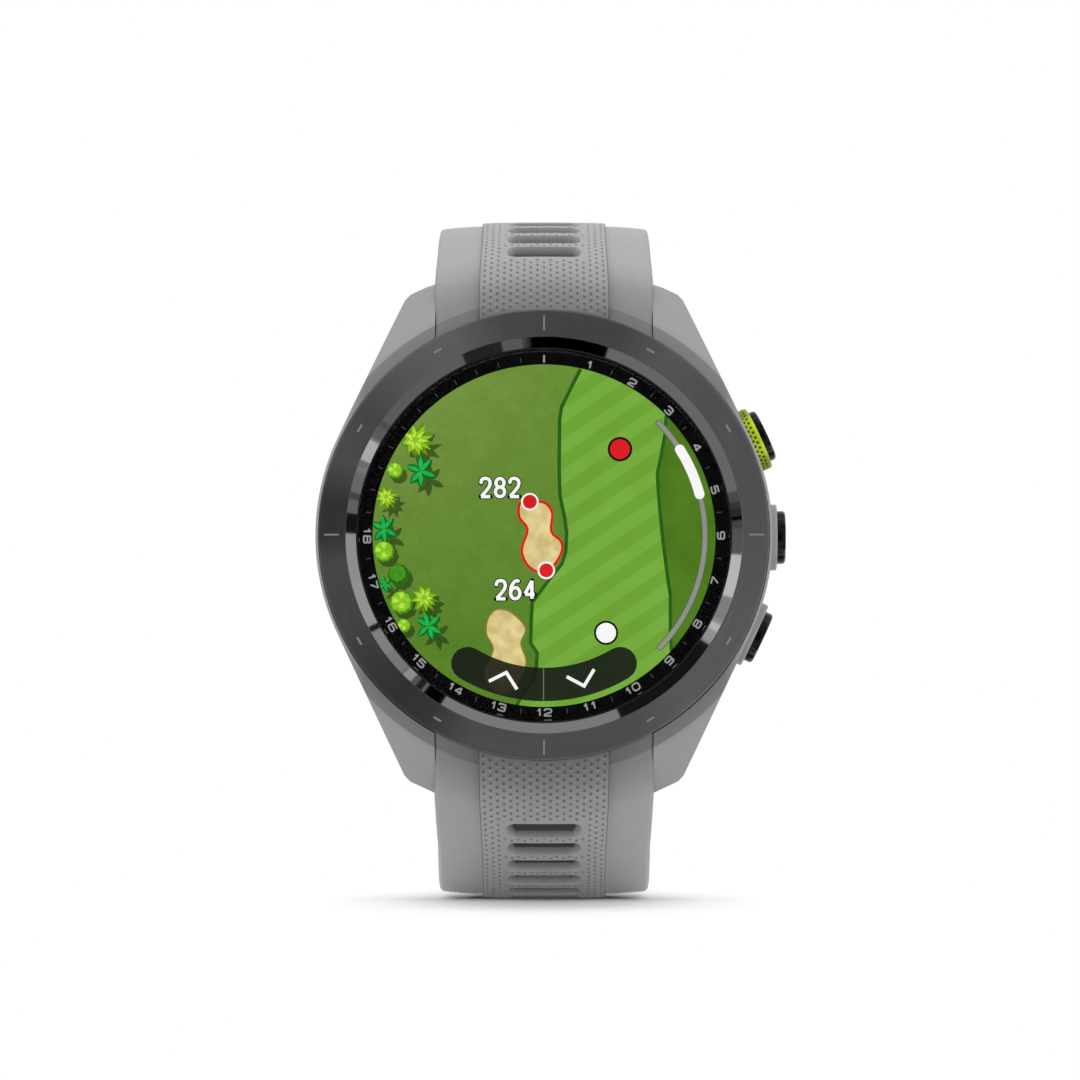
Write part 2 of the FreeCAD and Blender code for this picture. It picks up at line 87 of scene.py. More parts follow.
class Mat:
    """A small builder round one Principled shader."""

    def __init__(self, name, **k):
        self.m = bpy.data.materials.new(name)
        self.m.use_nodes = True
        self.t = self.m.node_tree
        self.p = self.t.nodes["Principled BSDF"]
        for key, v in k.items():
            self.set(key.replace("_", " "), v)

    def set(self, key, v):
        self.p.inputs[key].default_value = v

    def node(self, kind, **k):
        n = self.t.nodes.new(kind)
        for a, v in k.items():
            setattr(n, a, v)
        return n

    def link(self, a, b):
        self.t.links.new(a, b)

    def coord(self):
        if not hasattr(self, "_c"):
            self._c = self.node("ShaderNodeTexCoord").outputs["Object"]
        return self._c

    def math(self, op, a, b=None, clamp=False):
        n = self.node("ShaderNodeMath", operation=op, use_clamp=clamp)
        for i, v in enumerate((a, b)):
            if v is None:
                continue
            if isinstance(v, (int, float)):
                n.inputs[i].default_value = v
            else:
                self.link(v, n.inputs[i])
        return n.outputs[0]

    def noise(self, scale, detail=3.0, rough=0.5, vec=None, stretch=None):
        n = self.node("ShaderNodeTexNoise")
        n.inputs["Scale"].default_value = scale
        n.inputs["Detail"].default_value = detail
        n.inputs["Roughness"].default_value = rough
        v = vec or self.coord()
        if stretch:
            mp = self.node("ShaderNodeMapping")
            mp.inputs["Scale"].default_value = stretch
            self.link(v, mp.inputs["Vector"])
            v = mp.outputs[0]
        self.link(v, n.inputs["Vector"])
        return n.outputs["Fac"]

    def ramp(self, fac, stops, interp="LINEAR"):
        r = self.node("ShaderNodeValToRGB")
        r.color_ramp.interpolation = interp
        e = r.color_ramp.elements
        while len(e) > 1:
            e.remove(e[-1])
        for i, (pos, c) in enumerate(stops):
            if i == 0:
                e[0].position = pos
                el = e[0]
            else:
                el = e.new(pos)
            el.color = c if len(c) == 4 else (*c, 1.0)
        self.link(fac, r.inputs[0])
        return r.outputs[0]

    def remap(self, v, a, b, c, d):
        n = self.node("ShaderNodeMapRange")
        self.link(v, n.inputs["Value"])
        for i, x in zip((1, 2, 3, 4), (a, b, c, d)):
            n.inputs[i].default_value = x
        return n.outputs[0]

    def mix(self, fac, a, b, blend="MIX"):
        n = self.node("ShaderNodeMix", data_type="RGBA", blend_type=blend)
        for s, v in ((n.inputs[0], fac), (n.inputs[6], a), (n.inputs[7], b)):
            if isinstance(v, (int, float)):
                s.default_value = v
            elif isinstance(v, tuple):
                s.default_value = v if len(v) == 4 else (*v, 1.0)
            else:
                self.link(v, s)
        return n.outputs[2]

    def color(self, out):
        self.link(out, self.p.inputs["Base Color"])

    def rough(self, out):
        self.link(out, self.p.inputs["Roughness"])

    def bump(self, height, strength=0.2, distance=0.0001):
        b = self.node("ShaderNodeBump")
        b.inputs["Strength"].default_value = strength
        b.inputs["Distance"].default_value = distance
        self.link(height, b.inputs["Height"])
        self.link(b.outputs[0], self.p.inputs["Normal"])

    def radius(self):
        """Distance from the watch's centre axis, metres."""
        if hasattr(self, "_r"):
            return self._r
        s = self.node("ShaderNodeSeparateXYZ")
        self.link(self.coord(), s.inputs[0])
        x2 = self.math("MULTIPLY", s.outputs[0], s.outputs[0])
        z2 = self.math("MULTIPLY", s.outputs[2], s.outputs[2])
        self._r = self.math("SQRT", self.math("ADD", x2, z2))
        self._sep = s
        return self._r

    def clock(self):
        """Clock angle 0..1, clockwise from 12 seen from the front."""
        self.radius()
        a = self.math("ARCTAN2", self._sep.outputs[0], self._sep.outputs[2])
        a = self.math("DIVIDE", a, 2 * math.pi)
        return self.math("FRACT", self.math("ADD", a, 1.0))


def g(v):
    return (v, v, v, 1.0)


# ------------------------------------------------------------------ materials
M = {}

STRAP_BASE = 0.40


def rubber(name, base, pit_shading=False, cone=True, rough=0.55):
    m = Mat(name, Specular_IOR_Level=0.35)
    n = m.noise(900, 4)
    big = m.noise(60, 2)
    c = m.mix(n, g(base * 0.96), g(base * 1.03))
    c = m.mix(m.remap(big, 0.3, 0.7, 0, 1), c, m.mix(1.0, c, g(0.96), "MULTIPLY"))
    if cone:
        # painted shade: next to the bezel the colour is darkened, a steep ring on lugs and shoulders, a soft fade on
        # the panel
        r = m.radius()
        ax = m.math("ABSOLUTE", m._sep.outputs[0])
        p = m.remap(r, 0.0205, 0.0275, 0, 1)
        if pit_shading:
            hard = m.ramp(p, [(0.0, g(0.37)), (0.19, g(0.43)), (0.205, g(0.60)), (0.36, g(0.67)), (0.57, g(0.79)), (0.75, g(0.93)), (0.9, g(1.0))])
        else:
            hard = m.ramp(p, [(0.0, g(0.46)), (0.19, g(0.52)), (0.205, g(0.93)), (0.55, g(1.0))])
        soft = m.ramp(p, [(0.0, g(0.40)), (0.06, g(0.42)), (0.2, g(0.49)), (0.36, g(0.61)), (0.57, g(0.84)), (0.86, g(1.0))])
        onp = m.remap(ax, 0.00592, 0.00598, 0, 1) if pit_shading else 1.0
        shade = m.mix(onp, soft, hard)
        # the painted shade is lifted at nine and three o'clock, where the collar catches the light
        shade = m.mix(m.remap(ax, 0.0165, 0.0185, 0, 1), shade, g(1.0))
        # painted shade only on the front: the sides and the part behind the dial keep the plain colour
        shade = m.mix(m.remap(m._sep.outputs[1], 0.0068, 0.0090, 0, 1) if pit_shading else m.remap(m._sep.outputs[1], 0.00205, 0.0024, 0, 1), shade, g(1.0))
        c = m.mix(1.0, c, shade, "MULTIPLY")
    if pit_shading:
        # painted light: the low end of the strap is lightened in its colour, standing in for light coming up from the
        # pale floor
        c = m.mix(1.0, c, m.ramp(m.remap(m._sep.outputs[2], -0.036, -0.026, 0, 1), [(0.0, g(1.42)), (0.35, g(1.3)), (1.0, g(1.0))]), "MULTIPLY")
        a = m.node("ShaderNodeAttribute", attribute_name="pit_shading")
        # painted shade: the colour is darkened in the dimples and slots, where the attribute is positive
        c = m.mix(m.math("MAXIMUM", a.outputs["Fac"], 0.0), c, g(base * 0.13))
        # painted highlight: the colour is lightened on the ridge behind each dimple, where the attribute is negative
        c = m.mix(m.math("MAXIMUM", m.math("MULTIPLY", a.outputs["Fac"], -1.0), 0.0), c, g(min(0.8, base * 2.1)))
    m.color(c)
    m.rough(m.remap(n, 0.2, 0.8, rough - 0.05, rough + 0.06))
    m.bump(m.noise(2600, 3), 0.18, 0.00003)
    return m.m


M["strap"] = rubber("strap_silicone", STRAP_BASE, pit_shading=True)
M["keeper"] = rubber("keeper_silicone", STRAP_BASE, cone=False)
M["case"] = rubber("case_polymer", 0.345, rough=0.42)


def bezel_mat():
    m = Mat("bezel_satin_polish", Metallic=1.0)
    r = m.radius()
    a = m.clock()
    rr = m.remap(r, 0.0172, 0.0207, 0, 1)
    # polished chamfer inside 18.2 mm, satin land, fine bright edge outside
    flat = m.ramp(rr, [(0.0, g(0)), (0.272, g(0)), (0.29, g(1))])
    # circular brushing: noise that varies with radius and only slowly with angle
    cx = m.node("ShaderNodeCombineXYZ")
    m.link(m.math("MULTIPLY", r, 9000.0), cx.inputs[0])
    m.link(m.math("MULTIPLY", a, 14.0), cx.inputs[1])
    br = m.node("ShaderNodeTexNoise")
    br.inputs["Scale"].default_value = 1.0
    br.inputs["Detail"].default_value = 4.0
    m.link(cx.outputs[0], br.inputs["Vector"])
    satin = m.mix(br.outputs["Fac"], g(0.24), g(0.30))
    # painted reflections: the satin land's colour is lightened and darkened in bands by clock angle, standing in for
    # the studio seen in it
    painted_reflection_bands = [(5, .74), (20, .74), (35, 1.2), (50, 1.05), (80, 1.05), (95, 1.13), (110, 1.24), (140, 1.3), (155, .98), (200, .95), (212, .5), (222, .42), (232, .52), (245, .76), (262, .82),
             (270, .45), (279, .42), (290, .93), (305, .82), (320, 1.22), (335, 1.4), (350, .82)]
    satin = m.mix(1.0, satin, m.ramp(a, [(0.0, g(.78 * .5))] + [(d / 360, g(v * .5)) for d, v in painted_reflection_bands] + [(1.0, g(.78 * .5))]), "MULTIPLY")
    satin = m.mix(1.0, satin, g(0.5), "DIVIDE")
    # painted shadow: the colour is darkened on the bezel's outer wall, in the gap against the case
    edge = m.ramp(rr, [(0.0, g(1.0)), (0.974, g(1.0)), (0.98, g(0.12))])
    m.color(m.mix(1.0, m.mix(flat, g(0.62), satin), edge, "MULTIPLY"))
    m.rough(m.mix(flat, g(0.045), m.mix(br.outputs["Fac"], g(0.36), g(0.46))))
    h = m.math("MULTIPLY", br.outputs["Fac"], flat)
    m.bump(h, 0.10, 0.00002)
    return m.m


M["bezel"] = bezel_mat()


def plain(name, base, rough, metal=0.0, noise=900, amp=0.06, bump=0.08, dist=0.00002, stretch=None, **k):
    m = Mat(name, Metallic=metal, **k)
    n = m.noise(noise, 4, stretch=stretch)
    b = tuple(base) if len(base) == 3 else base[:3]
    c = m.mix(n, tuple(v * (1 - amp) for v in b), tuple(min(1.0, v * (1 + amp)) for v in b))
    m.color(c)
    m.rough(m.remap(n, 0.25, 0.75, max(0.02, rough - 0.04), rough + 0.05))
    if bump:
        m.bump(n, bump, dist)
    return m.m


M["inlay"] = plain("index_inlay", lin((122, 122, 125)), 0.5)
M["seal"] = plain("seal_rubber", (0.012, 0.012, 0.012), 0.6)
M["mask"] = plain("black_print", (0.0015, 0.0015, 0.0018), 0.35, bump=0.02, Specular_IOR_Level=0.1)
M["panel"] = plain("panel_black", (0.004, 0.004, 0.004), 0.3)
M["alloy"] = plain("blasted_alloy", (0.6, 0.6, 0.62), 0.4, 1.0)
M["antenna"] = plain("antenna_alloy", (0.65, 0.58, 0.45), 0.35, 1.0)
M["flex"] = plain("amber_film", (0.42, 0.2, 0.03), 0.35)
M["board"] = plain("solder_mask", (0.01, 0.09, 0.04), 0.35, noise=1500, amp=0.25)
M["tin"] = plain("pressed_tin", (0.6, 0.6, 0.58), 0.32, 1.0)
M["chip"] = plain("chip_package", (0.015, 0.015, 0.017), 0.5)
M["foil"] = plain("battery_foil", (0.6, 0.61, 0.63), 0.3, 1.0, noise=300, bump=0.3, dist=0.0001)
M["steel"] = plain("turned_steel", (0.5, 0.5, 0.5), 0.28, 1.0)
M["brass"] = plain("turned_brass", (0.7, 0.5, 0.2), 0.28, 1.0)
M["gold"] = plain("gold_plate", (0.85, 0.6, 0.2), 0.2, 1.0)


def cap_mat(name, clock_deg):
    """Black anodised cap; the soft lengthwise bands across its side are painted reflections in its colour."""
    m = Mat(name, Metallic=1.0)
    m.radius()
    t = math.radians(clock_deg)
    u = m.math("SUBTRACT", m.math("MULTIPLY", m._sep.outputs[0], math.cos(t)), m.math("MULTIPLY", m._sep.outputs[2], math.sin(t)))
    n = m.noise(500, 3)
    u = m.math("ADD", u, m.math("MULTIPLY", m.math("SUBTRACT", n, 0.5), 0.00012))
    # painted reflections: lighter and darker bands in the colour across the cap
    painted_light_band = m.ramp(m.remap(u, -0.00245, 0.00245, 0, 1),
                  [(0.0, g(0.008)), (0.10, g(0.012)), (0.17, g(0.055)), (0.25, g(0.05)), (0.31, g(0.012)), (0.5, g(0.026)), (0.72, g(0.016)), (0.765, g(0.11)), (0.84, g(0.09)), (0.87, g(0.004)), (1.0, g(0.004))])
    m.color(painted_light_band)
    m.rough(m.remap(n, 0.3, 0.7, 0.24, 0.32))
    m.bump(n, 0.04, 0.00002)
    return m.m


M["cap65"] = cap_mat("button_black_upper", 65)
M["cap90"] = cap_mat("button_black_middle", 90)
M["cap115"] = cap_mat("button_black_lower", 115)
M["buckle"] = plain("buckle_dark", (0.06, 0.06, 0.064), 0.3, 1.0, noise=700, stretch=(1, 12, 12), bump=0.1)


def cover_mat():
    m = Mat("rear_cover_moulding", Specular_IOR_Level=0.4)
    r = m.radius()
    n = m.noise(2200, 3)
    c = m.mix(n, g(0.024), g(0.036))
    c = m.mix(m.ramp(m.remap(r, 0.0083, 0.0200, 0, 1), [(0.0, g(1)), (0.03, g(0))]), c, g(0.06))
    m.color(c)
    m.rough(m.remap(n, 0.3, 0.7, 0.42, 0.58))
    m.bump(n, 0.35, 0.00004)
    return m.m


M["cover"] = cover_mat()


def lime():
    m = Mat("accent_lime", Metallic=0.0, Specular_IOR_Level=0.3)
    n = m.noise(700, 3)
    c = m.mix(n, lin((190, 214, 26)), lin((206, 228, 44)))
    m.radius()
    t = math.radians(65)
    u = m.math("SUBTRACT", m.math("MULTIPLY", m._sep.outputs[0], math.cos(t)), m.math("MULTIPLY", m._sep.outputs[2], math.sin(t)))
    # painted shade and highlight: the colour darkens towards both sides of the collar, with lighter bands between
    painted_light_band = m.ramp(m.remap(u, -0.0031, 0.0031, 0, 1),
                  [(0.0, g(0.6)), (0.06, g(0.45)), (0.13, g(0.5)), (0.2, g(0.92)), (0.3, g(1.0)), (0.42, g(0.85)), (0.55, g(0.8)), (0.66, g(1.0)), (0.76, g(0.95)), (0.84, g(0.55)), (0.94, g(0.4)), (1.0, g(0.5))])
    c = m.mix(1.0, c, painted_light_band, "MULTIPLY")
    # painted shade: the colour is darkened in the dimples
    a = m.node("ShaderNodeAttribute", attribute_name="pit_shading")
    c = m.mix(a.outputs["Fac"], c, lin((44, 52, 4)))
    m.color(c)
    m.rough(m.remap(n, 0.3, 0.7, 0.26, 0.34))
    m.bump(n, 0.05, 0.00002)
    return m.m


M["lime"] = lime()


def glass(name, tint, rough=0.0):
    m = Mat(name, Transmission_Weight=1.0, IOR=1.47, Roughness=rough)
    n = m.noise(40, 1)
    m.color(m.mix(n, tint, tuple(min(1.0, v * 1.01) for v in tint)))
    return m.m


M["glass"] = glass("dial_glass_clear", (0.985, 0.99, 0.99))
M["window"] = glass("sensor_window_tint", (0.22, 0.22, 0.24))
M["diode"] = plain("diode_lens", (0.05, 0.16, 0.09), 0.15)


def lit_grad(name, top_l, top_r, bottom, scale, amp, strength=1.0):
    """A grassy screen colour that fades across the picture, with fine mottling."""
    m = Mat(name, Roughness=0.4, Specular_IOR_Level=0.0)
    m.set("Base Color", (0, 0, 0, 1))
    sp = m.node("ShaderNodeSeparateXYZ")
    m.link(m.coord(), sp.inputs[0])
    fx = m.remap(sp.outputs[0], -0.014, 0.004, 0, 1)
    fz = m.remap(sp.outputs[2], 0.013, -0.010, 0, 1)
    c = m.mix(fz, m.mix(fx, lin(top_l), lin(top_r)), lin(bottom))
    n1 = m.noise(scale, 5, 0.65)
    n2 = m.noise(scale * 5, 3)
    c = m.mix(1.0, c, m.ramp(n1, [(0.25, g(1 - amp)), (0.75, g(1.0))]), "MULTIPLY")
    c = m.mix(1.0, c, m.ramp(n2, [(0.25, g(1 - amp * 0.6)), (0.75, g(1.0))]), "MULTIPLY")
    m.link(c, m.p.inputs["Emission Color"])
    m.set("Emission Strength", strength)
    return m.m


def lit(name, c1, c2=None, scale=400, detail=3, contrast=(0.35, 0.65), stripes=None, strength=1.0, alpha=None, stretch=None):
    """A self-lit screen colour with fine variation."""
    m = Mat(name, Roughness=0.4, Specular_IOR_Level=0.0)
    m.set("Base Color", (0, 0, 0, 1))
    c2 = c2 or tuple(min(255, v * 1.04 + 1) for v in c1)
    n = m.remap(m.noise(scale, detail, stretch=stretch), contrast[0], contrast[1], 0, 1)
    c = m.mix(n, lin(c1), lin(c2))
    if stripes:
        ang, width, d1 = stripes
        s = m.node("ShaderNodeSeparateXYZ")
        m.link(m.coord(), s.inputs[0])
        u = m.math("ADD", m.math("MULTIPLY", s.outputs[0], math.sin(ang)), m.math("MULTIPLY", s.outputs[2], math.cos(ang)))
        f = m.math("FRACT", m.math("ADD", m.math("DIVIDE", u, width), 20.0))
        tri = m.math("ABSOLUTE", m.math("SUBTRACT", f, 0.5))
        c = m.mix(m.remap(tri, 0.22, 0.28, 0, 1), c, m.mix(n, lin(d1), lin(tuple(v * 1.03 for v in d1))))
    m.link(c, m.p.inputs["Emission Color"])
    m.set("Emission Strength", strength)
    if alpha is not None:
        m.set("Alpha", alpha)
    return m.m


def use(node, mat, slot=None):
    o = NODES[node]
    me = o.data
    me.materials.clear()
    me.materials.append(mat)
    return o


for n, m in {
    "case_middle": "case", "bezel": "bezel", "bezel_index_marks": "inlay", "bezel_seal": "seal", "glass_seal": "seal",
    "rear_cover_seal": "seal", "button_o_rings": "seal", "display_glass": "glass", "dial_mask_ring": "mask",
    "display_panel": "panel", "display_frame": "alloy", "gps_antenna_ring": "antenna", "display_flex": "flex",
    "switch_flex": "flex", "main_board": "board", "optical_sensor_board": "board", "shield_can": "tin",
    "processor_chip": "chip", "gnss_chip": "chip", "pressure_sensor": "chip", "tact_switches": "chip",
    "sensor_diodes": "diode", "battery": "foil", "vibration_motor": "steel", "rear_cover": "cover",
    "sensor_window": "window", "rear_cover_screws": "steel", "buckle_bar": "steel", "upper_bar_tube": "steel",
    "lower_bar_tube": "steel", "upper_bar_plunger": "steel", "lower_bar_plunger": "steel", "charge_contacts": "gold",
    "upper_button_cap": "cap65", "middle_button_cap": "cap90", "lower_button_cap": "cap115", "button_bushes": "brass",
    "upper_button_spring": "steel", "middle_button_spring": "steel", "lower_button_spring": "steel",
    "upper_bar_spring": "steel", "lower_bar_spring": "steel", "upper_button_clip": "steel",
    "middle_button_clip": "steel", "lower_button_clip": "steel", "fixed_keeper": "keeper", "sliding_keeper": "keeper",
    "buckle_frame": "buckle", "buckle_tongue": "buckle",
}.items():
    use(n, M[m])
NODES["display_glass"].visible_shadow = False

# ------------------------------------------------------------------ straps
START = (0.45, 21.1)
UP = [("S", 41.0), ("L", 5.0), ("A", 15.9, 49.0), ("A", 45.0, 43.0), ("L", 20.0)]
LOW = [("S", 36.5), ("L", 6.8), ("A", 21.0, 25.0), ("A", 8.0, 28.5), ("L", 37.5), ("A", 40.0, 50.0), ("L", 18.0)]
SLOT_START, SLOT_PITCH, SLOT_W, SLOT_LEN, SLOT_DEPTH = 6.74, 2.3, 1.6, 7.0, 0.9
T = 3.0
HW = 9.95
PH = 5.85
BAR = (6.3, 21.9)


def chain_len(segs):
    return sum(q[1] if q[0] == "L" else q[1] * math.radians(q[2]) for q in segs[1:])


def chain_at(segs, s):
    y, z = START
    phi = math.radians(segs[0][1])
    if s < 0:
        return y + s * math.sin(phi), z + s * math.cos(phi), phi
    for q in segs[1:]:
        L = q[1] if q[0] == "L" else q[1] * math.radians(q[2])
        d = min(s, L)
        if q[0] == "L":
            y, z = y + d * math.sin(phi), z + d * math.cos(phi)
        else:
            p2 = phi + d / q[1]
            y, z = y + q[1] * (math.cos(phi) - math.cos(p2)), z + q[1] * (math.sin(p2) - math.sin(phi))
            phi = p2
        s -= d
        if s <= 1e-9:
            return y, z, phi
    return y + s * math.sin(phi), z + s * math.cos(phi), phi


def smooth(t):
    t = np.clip(t, 0, 1)
    return t * t * (3 - 2 * t)


def strap_mesh(name, segs, s_end, panel_end, n_slots, flip, tail_round, mat):
    ds = 0.13
    k0 = int(-4.3 / ds)
    rows = [k * ds for k in range(k0, int(s_end / ds) + 1) if k * ds < s_end - 0.02]
    for k in range(n_slots):
        a = SLOT_START + k * SLOT_PITCH
        b = a + SLOT_W
        rows += [a - 0.03, a + 0.03, b - 0.03, b + 0.03]
    rows.append(s_end)
    if tail_round:
        rows += [s_end - e for e in (0.004, 0.015, 0.035, 0.06, 0.09)]
    rows = sorted(set(round(r, 4) for r in rows))
    # merge rows that lie too close, keeping the dimple rows
    kept = [rows[0]]
    for r in rows[1:]:
        if r - kept[-1] >= 0.003:
            kept.append(r)
    rows = np.array(kept)
    nr = len(rows)
    # columns across the top: (x share kind) absolute x at full width
    xp = [i * 0.12 for i in range(0, 48)]            # 0 .. 5.64
    xp += [5.70, 5.745, 5.765, 5.80, 5.835, 5.86, 5.875, 5.93, 6.1]
    xp += [6.1 + (9.5 - 6.1) * i / 11 for i in range(1, 12)]
    xp += [9.6, 9.69, 9.77, 9.84, 9.89, 9.925, 9.945, 9.95]
    xp = np.array(xp)

    def top_h(x):
        ax = np.abs(x)
        h = -0.10 * (ax / 5.85) ** 2
        groove = np.interp(ax, [5.64, 5.70, 5.745, 5.765, 5.80, 5.835, 5.86, 5.875, 5.93, 6.1],
                           [-0.093, -0.095, -0.095, -0.20, -0.20, -0.10, -0.12, -0.37, -0.40, -0.40])
        side = -0.40 - 0.28 * np.clip((ax - 6.1) / 3.8, 0, 1) ** 1.5
        rr = 0.42
        e = np.clip((ax - (HW - rr)) / rr, 0, 1)
        side = side - rr * (1 - np.sqrt(np.clip(1 - e * e, 0, 1)))
        return np.where(ax <= 5.64, h, np.where(ax <= 6.1, groove, side))

    xs = np.concatenate([-xp[::-1], xp[1:]])
    nt = len(xs)
    # underside columns run back from +x to -x
    bx = np.array([10.03, 10.0, 9.9, 9.75, 9.5, 8.0, 5.0, 2.5, 0, -2.5, -5.0, -8.0, -9.5, -9.75, -9.9, -10.0, -10.03])
    bh = np.array([-1.5, -T + 0.45, -T + 0.25, -T + 0.08, -T, -T, -T, -T, -T, -T, -T, -T, -T, -T + 0.08, -T + 0.25, -T + 0.45, -1.5])
    nc = nt + len(bx)
    S, X = np.meshgrid(rows, np.concatenate([xs, bx]), indexing="ij")
    H = np.empty_like(S)
    top = top_h(xs)
    H[:, :nt] = top
    H[:, nt:] = bh
    pit_shading = np.zeros_like(S)
    # panel fades out before the end
    fade = smooth((panel_end - rows) / 1.2)
    lift = np.where(np.abs(xs) < 6.1, np.clip(top + 0.40, 0, 1), 0)
    H[:, :nt] -= (1 - fade)[:, None] * lift[None, :]
    # dimples on a staggered grid whose pitch shortens towards the slots
    st, xt = S[:, :nt], X[:, :nt]
    fine = np.linspace(-5, s_end, 4000)
    pitch = np.interp(fine, [0.8, 6.6], [0.90, 0.64])
    count = np.concatenate([[0], np.cumsum(np.diff(fine) / pitch[1:])])
    vrow = np.interp(st, fine, count)
    prow = np.interp(st, fine, pitch)
    ci = np.rint(xt / 0.6)
    odd = np.mod(np.abs(ci), 2)
    v = vrow - odd * 0.5
    dv = (v - np.rint(v)) * prow
    du = xt - ci * 0.6
    slot = np.zeros_like(st)
    near = np.zeros_like(st)
    slot_floor_shadow = np.zeros_like(st)
    rib_dv = np.full_like(st, 9.0)
    for k in range(n_slots):
        a = SLOT_START + k * SLOT_PITCH
        sc = a + SLOT_W / 2
        dd = np.abs(st - sc)
        xe = (SLOT_LEN - SLOT_W) / 2 + np.sqrt(np.clip((SLOT_W / 2) ** 2 - dd ** 2, 0, None))
        ins = dd < SLOT_W / 2
        dep = np.where(ins, np.clip((SLOT_W / 2 - dd) / 0.028, 0, 1) * np.clip((xe - np.abs(xt)) / 0.62, 0, 1), 0)
        slot = np.maximum(slot, dep)
        # painted shade: the floor of each slot is darkened in its colour, the wall on its far side left mid grey
        slot_floor_shadow = np.maximum(slot_floor_shadow, np.where(ins, np.clip((a + SLOT_W - 0.10 - st) / 0.05, 0, 1) * np.clip((xe - 0.45 - np.abs(xt)) / 0.2, 0, 1), 0))
        near = np.maximum(near, np.where((dd < SLOT_W / 2 + 0.34) & (np.abs(xt) < SLOT_LEN / 2 + 0.12), 1, 0))
        if k < n_slots - 1:
            rc = a + SLOT_W + (SLOT_PITCH - SLOT_W) / 2 + (odd - 0.5) * 0.16
            d = st - rc
            rib_dv = np.where((np.abs(d) < 0.3) & (np.abs(xt) < SLOT_LEN / 2 + 0.12), d, rib_dv)
    dvv = np.where(near > 0.5, rib_dv, dv)
    hl = np.where(near > 0.5, 0.14, np.clip(prow * 0.25, 0.14, 0.22))
    dim = np.clip(1.15 - np.sqrt((du / 0.125) ** 2 + (dvv / hl) ** 2), 0, 1) ** 0.8
    zs = START[1] + st * math.cos(math.radians(segs[0][1]))
    ok = (np.abs(xt) < 5.5) & (np.sqrt(xt ** 2 + zs ** 2) > 20.95) & (st < panel_end - 1.6)
    dim = np.where(ok, dim, 0)
    # a fine raised ridge on the far side of each dimple, also lightened in its colour as a painted highlight
    rim = np.clip(1.0 - np.sqrt((du / 0.17) ** 2 + ((dvv - hl * 1.05) / (hl * 0.62)) ** 2), 0, 1)
    rim = np.where(ok & (dim < 0.05), rim, 0)
    H[:, :nt] -= 0.17 * dim + SLOT_DEPTH * slot - 0.03 * rim
    # painted shade and highlight for the material: dimples, slots and slot floors darkened, the ridges lightened
    pit_shading[:, :nt] = np.clip(dim * 1.25, 0, 1) * 0.74 + np.clip(slot, 0, 1) * (0.40 if flip else 0.46) + slot_floor_shadow * 0.56 - 0.42 * rim
    # plan outline: slight taper, round tail
    w = np.interp(rows, [0, 3, 14, 200], [HW, HW, HW - 0.17, HW - 0.17])
    if tail_round:
        q = np.clip(rows - (s_end - HW + 0.17), 0, HW - 0.17)
        w = np.minimum(w, np.sqrt(np.clip((HW - 0.17) ** 2 - q ** 2, 0.02, None)))
    # between the lugs the sides run right up to the lug walls
    w = np.maximum(w, np.interp(rows, [0, 4.6, 9.5, 200], [10.04, 10.035, 9.84, 0]) * (rows < 12))
    Xw = X * (w / HW)[:, None]
    # the panel flares very slightly towards the case
    flare = np.interp(rows, [0, 10], [0.022, 0.0])[:, None]
    Xw = Xw * (1 + flare * np.clip(1 - (np.abs(X) - 5.9) / 3.0, 0, 1))
    # to 3-D
    P = np.empty((nr, nc, 3))
    yz = np.array([chain_at(segs, s) for s in rows])
    y0, z0, ph = yz[:, 0:1], yz[:, 1:2], yz[:, 2:3]
    # rounded end edges
    endr = np.clip((rows - (s_end - 0.5)) / 0.5, 0, 1)[:, None]
    if not tail_round:
        endr = endr * 0
    mid = -T / 2
    Hs = mid + (H - mid) * np.sqrt(np.clip(1 - 0.55 * endr ** 2, 0, 1))
    P[..., 0] = Xw
    P[..., 1] = y0 - Hs * np.cos(ph)
    P[..., 2] = z0 + Hs * np.sin(ph)
    # the end of the strap hugs the case: it stops at the case ring, the panel rises to the bezel edge
    # and the shoulders carry on the cone of the lug fronts
    x, y, z = P[..., 0], P[..., 1], P[..., 2]
    top_mask = np.zeros_like(x, bool)
    top_mask[:, :nt] = True
    panel = np.broadcast_to(np.abs(X) < 5.87, x.shape)
    y_at = y.copy()
    for _ in range(3):
        ring = np.full_like(y_at, 20.67)
        lim = np.sqrt(np.clip(ring ** 2 - x ** 2, 0, None))
        inside = (z < lim) & (y < 12)
        zz = np.where(inside, lim, z)
        r = np.sqrt(x ** 2 + zz ** 2)
        # the strap's own surface carried straight on to that radius
        own = START[0] + (zz - START[1]) * math.tan(math.radians(segs[0][1])) - H / math.cos(math.radians(segs[0][1]))
        own = np.where(inside, own, y)
        k = 1 - smooth((r - 20.73) / 1.5)
        yp = np.maximum(own - 0.22 * k, -0.16 + (r - 20.73) * 0.45 - H)
        cone = np.where(r < 21.9, 0.45 + (r - 20.75) * 1.3478, 2.0 + (r - 21.9) * 0.783)
        w2 = 1 - smooth((r - 21.9) / 4.6)
        base = own + (np.maximum(cone, own) - own) * w2 + np.where(r < 21.9, 0.02, 0)
        edge_drop = np.where(np.abs(X) > 9.5, -H - 0.66, 0) * w2
        ys = np.maximum(own, base + np.clip(edge_drop, 0, None))
        yt = np.where(panel, yp, ys)
        near_case = (r < 26.6) & top_mask & (y < 12)
        y_at = np.where(near_case, yt, y)
    y_new = np.where(near_case, yt, y)
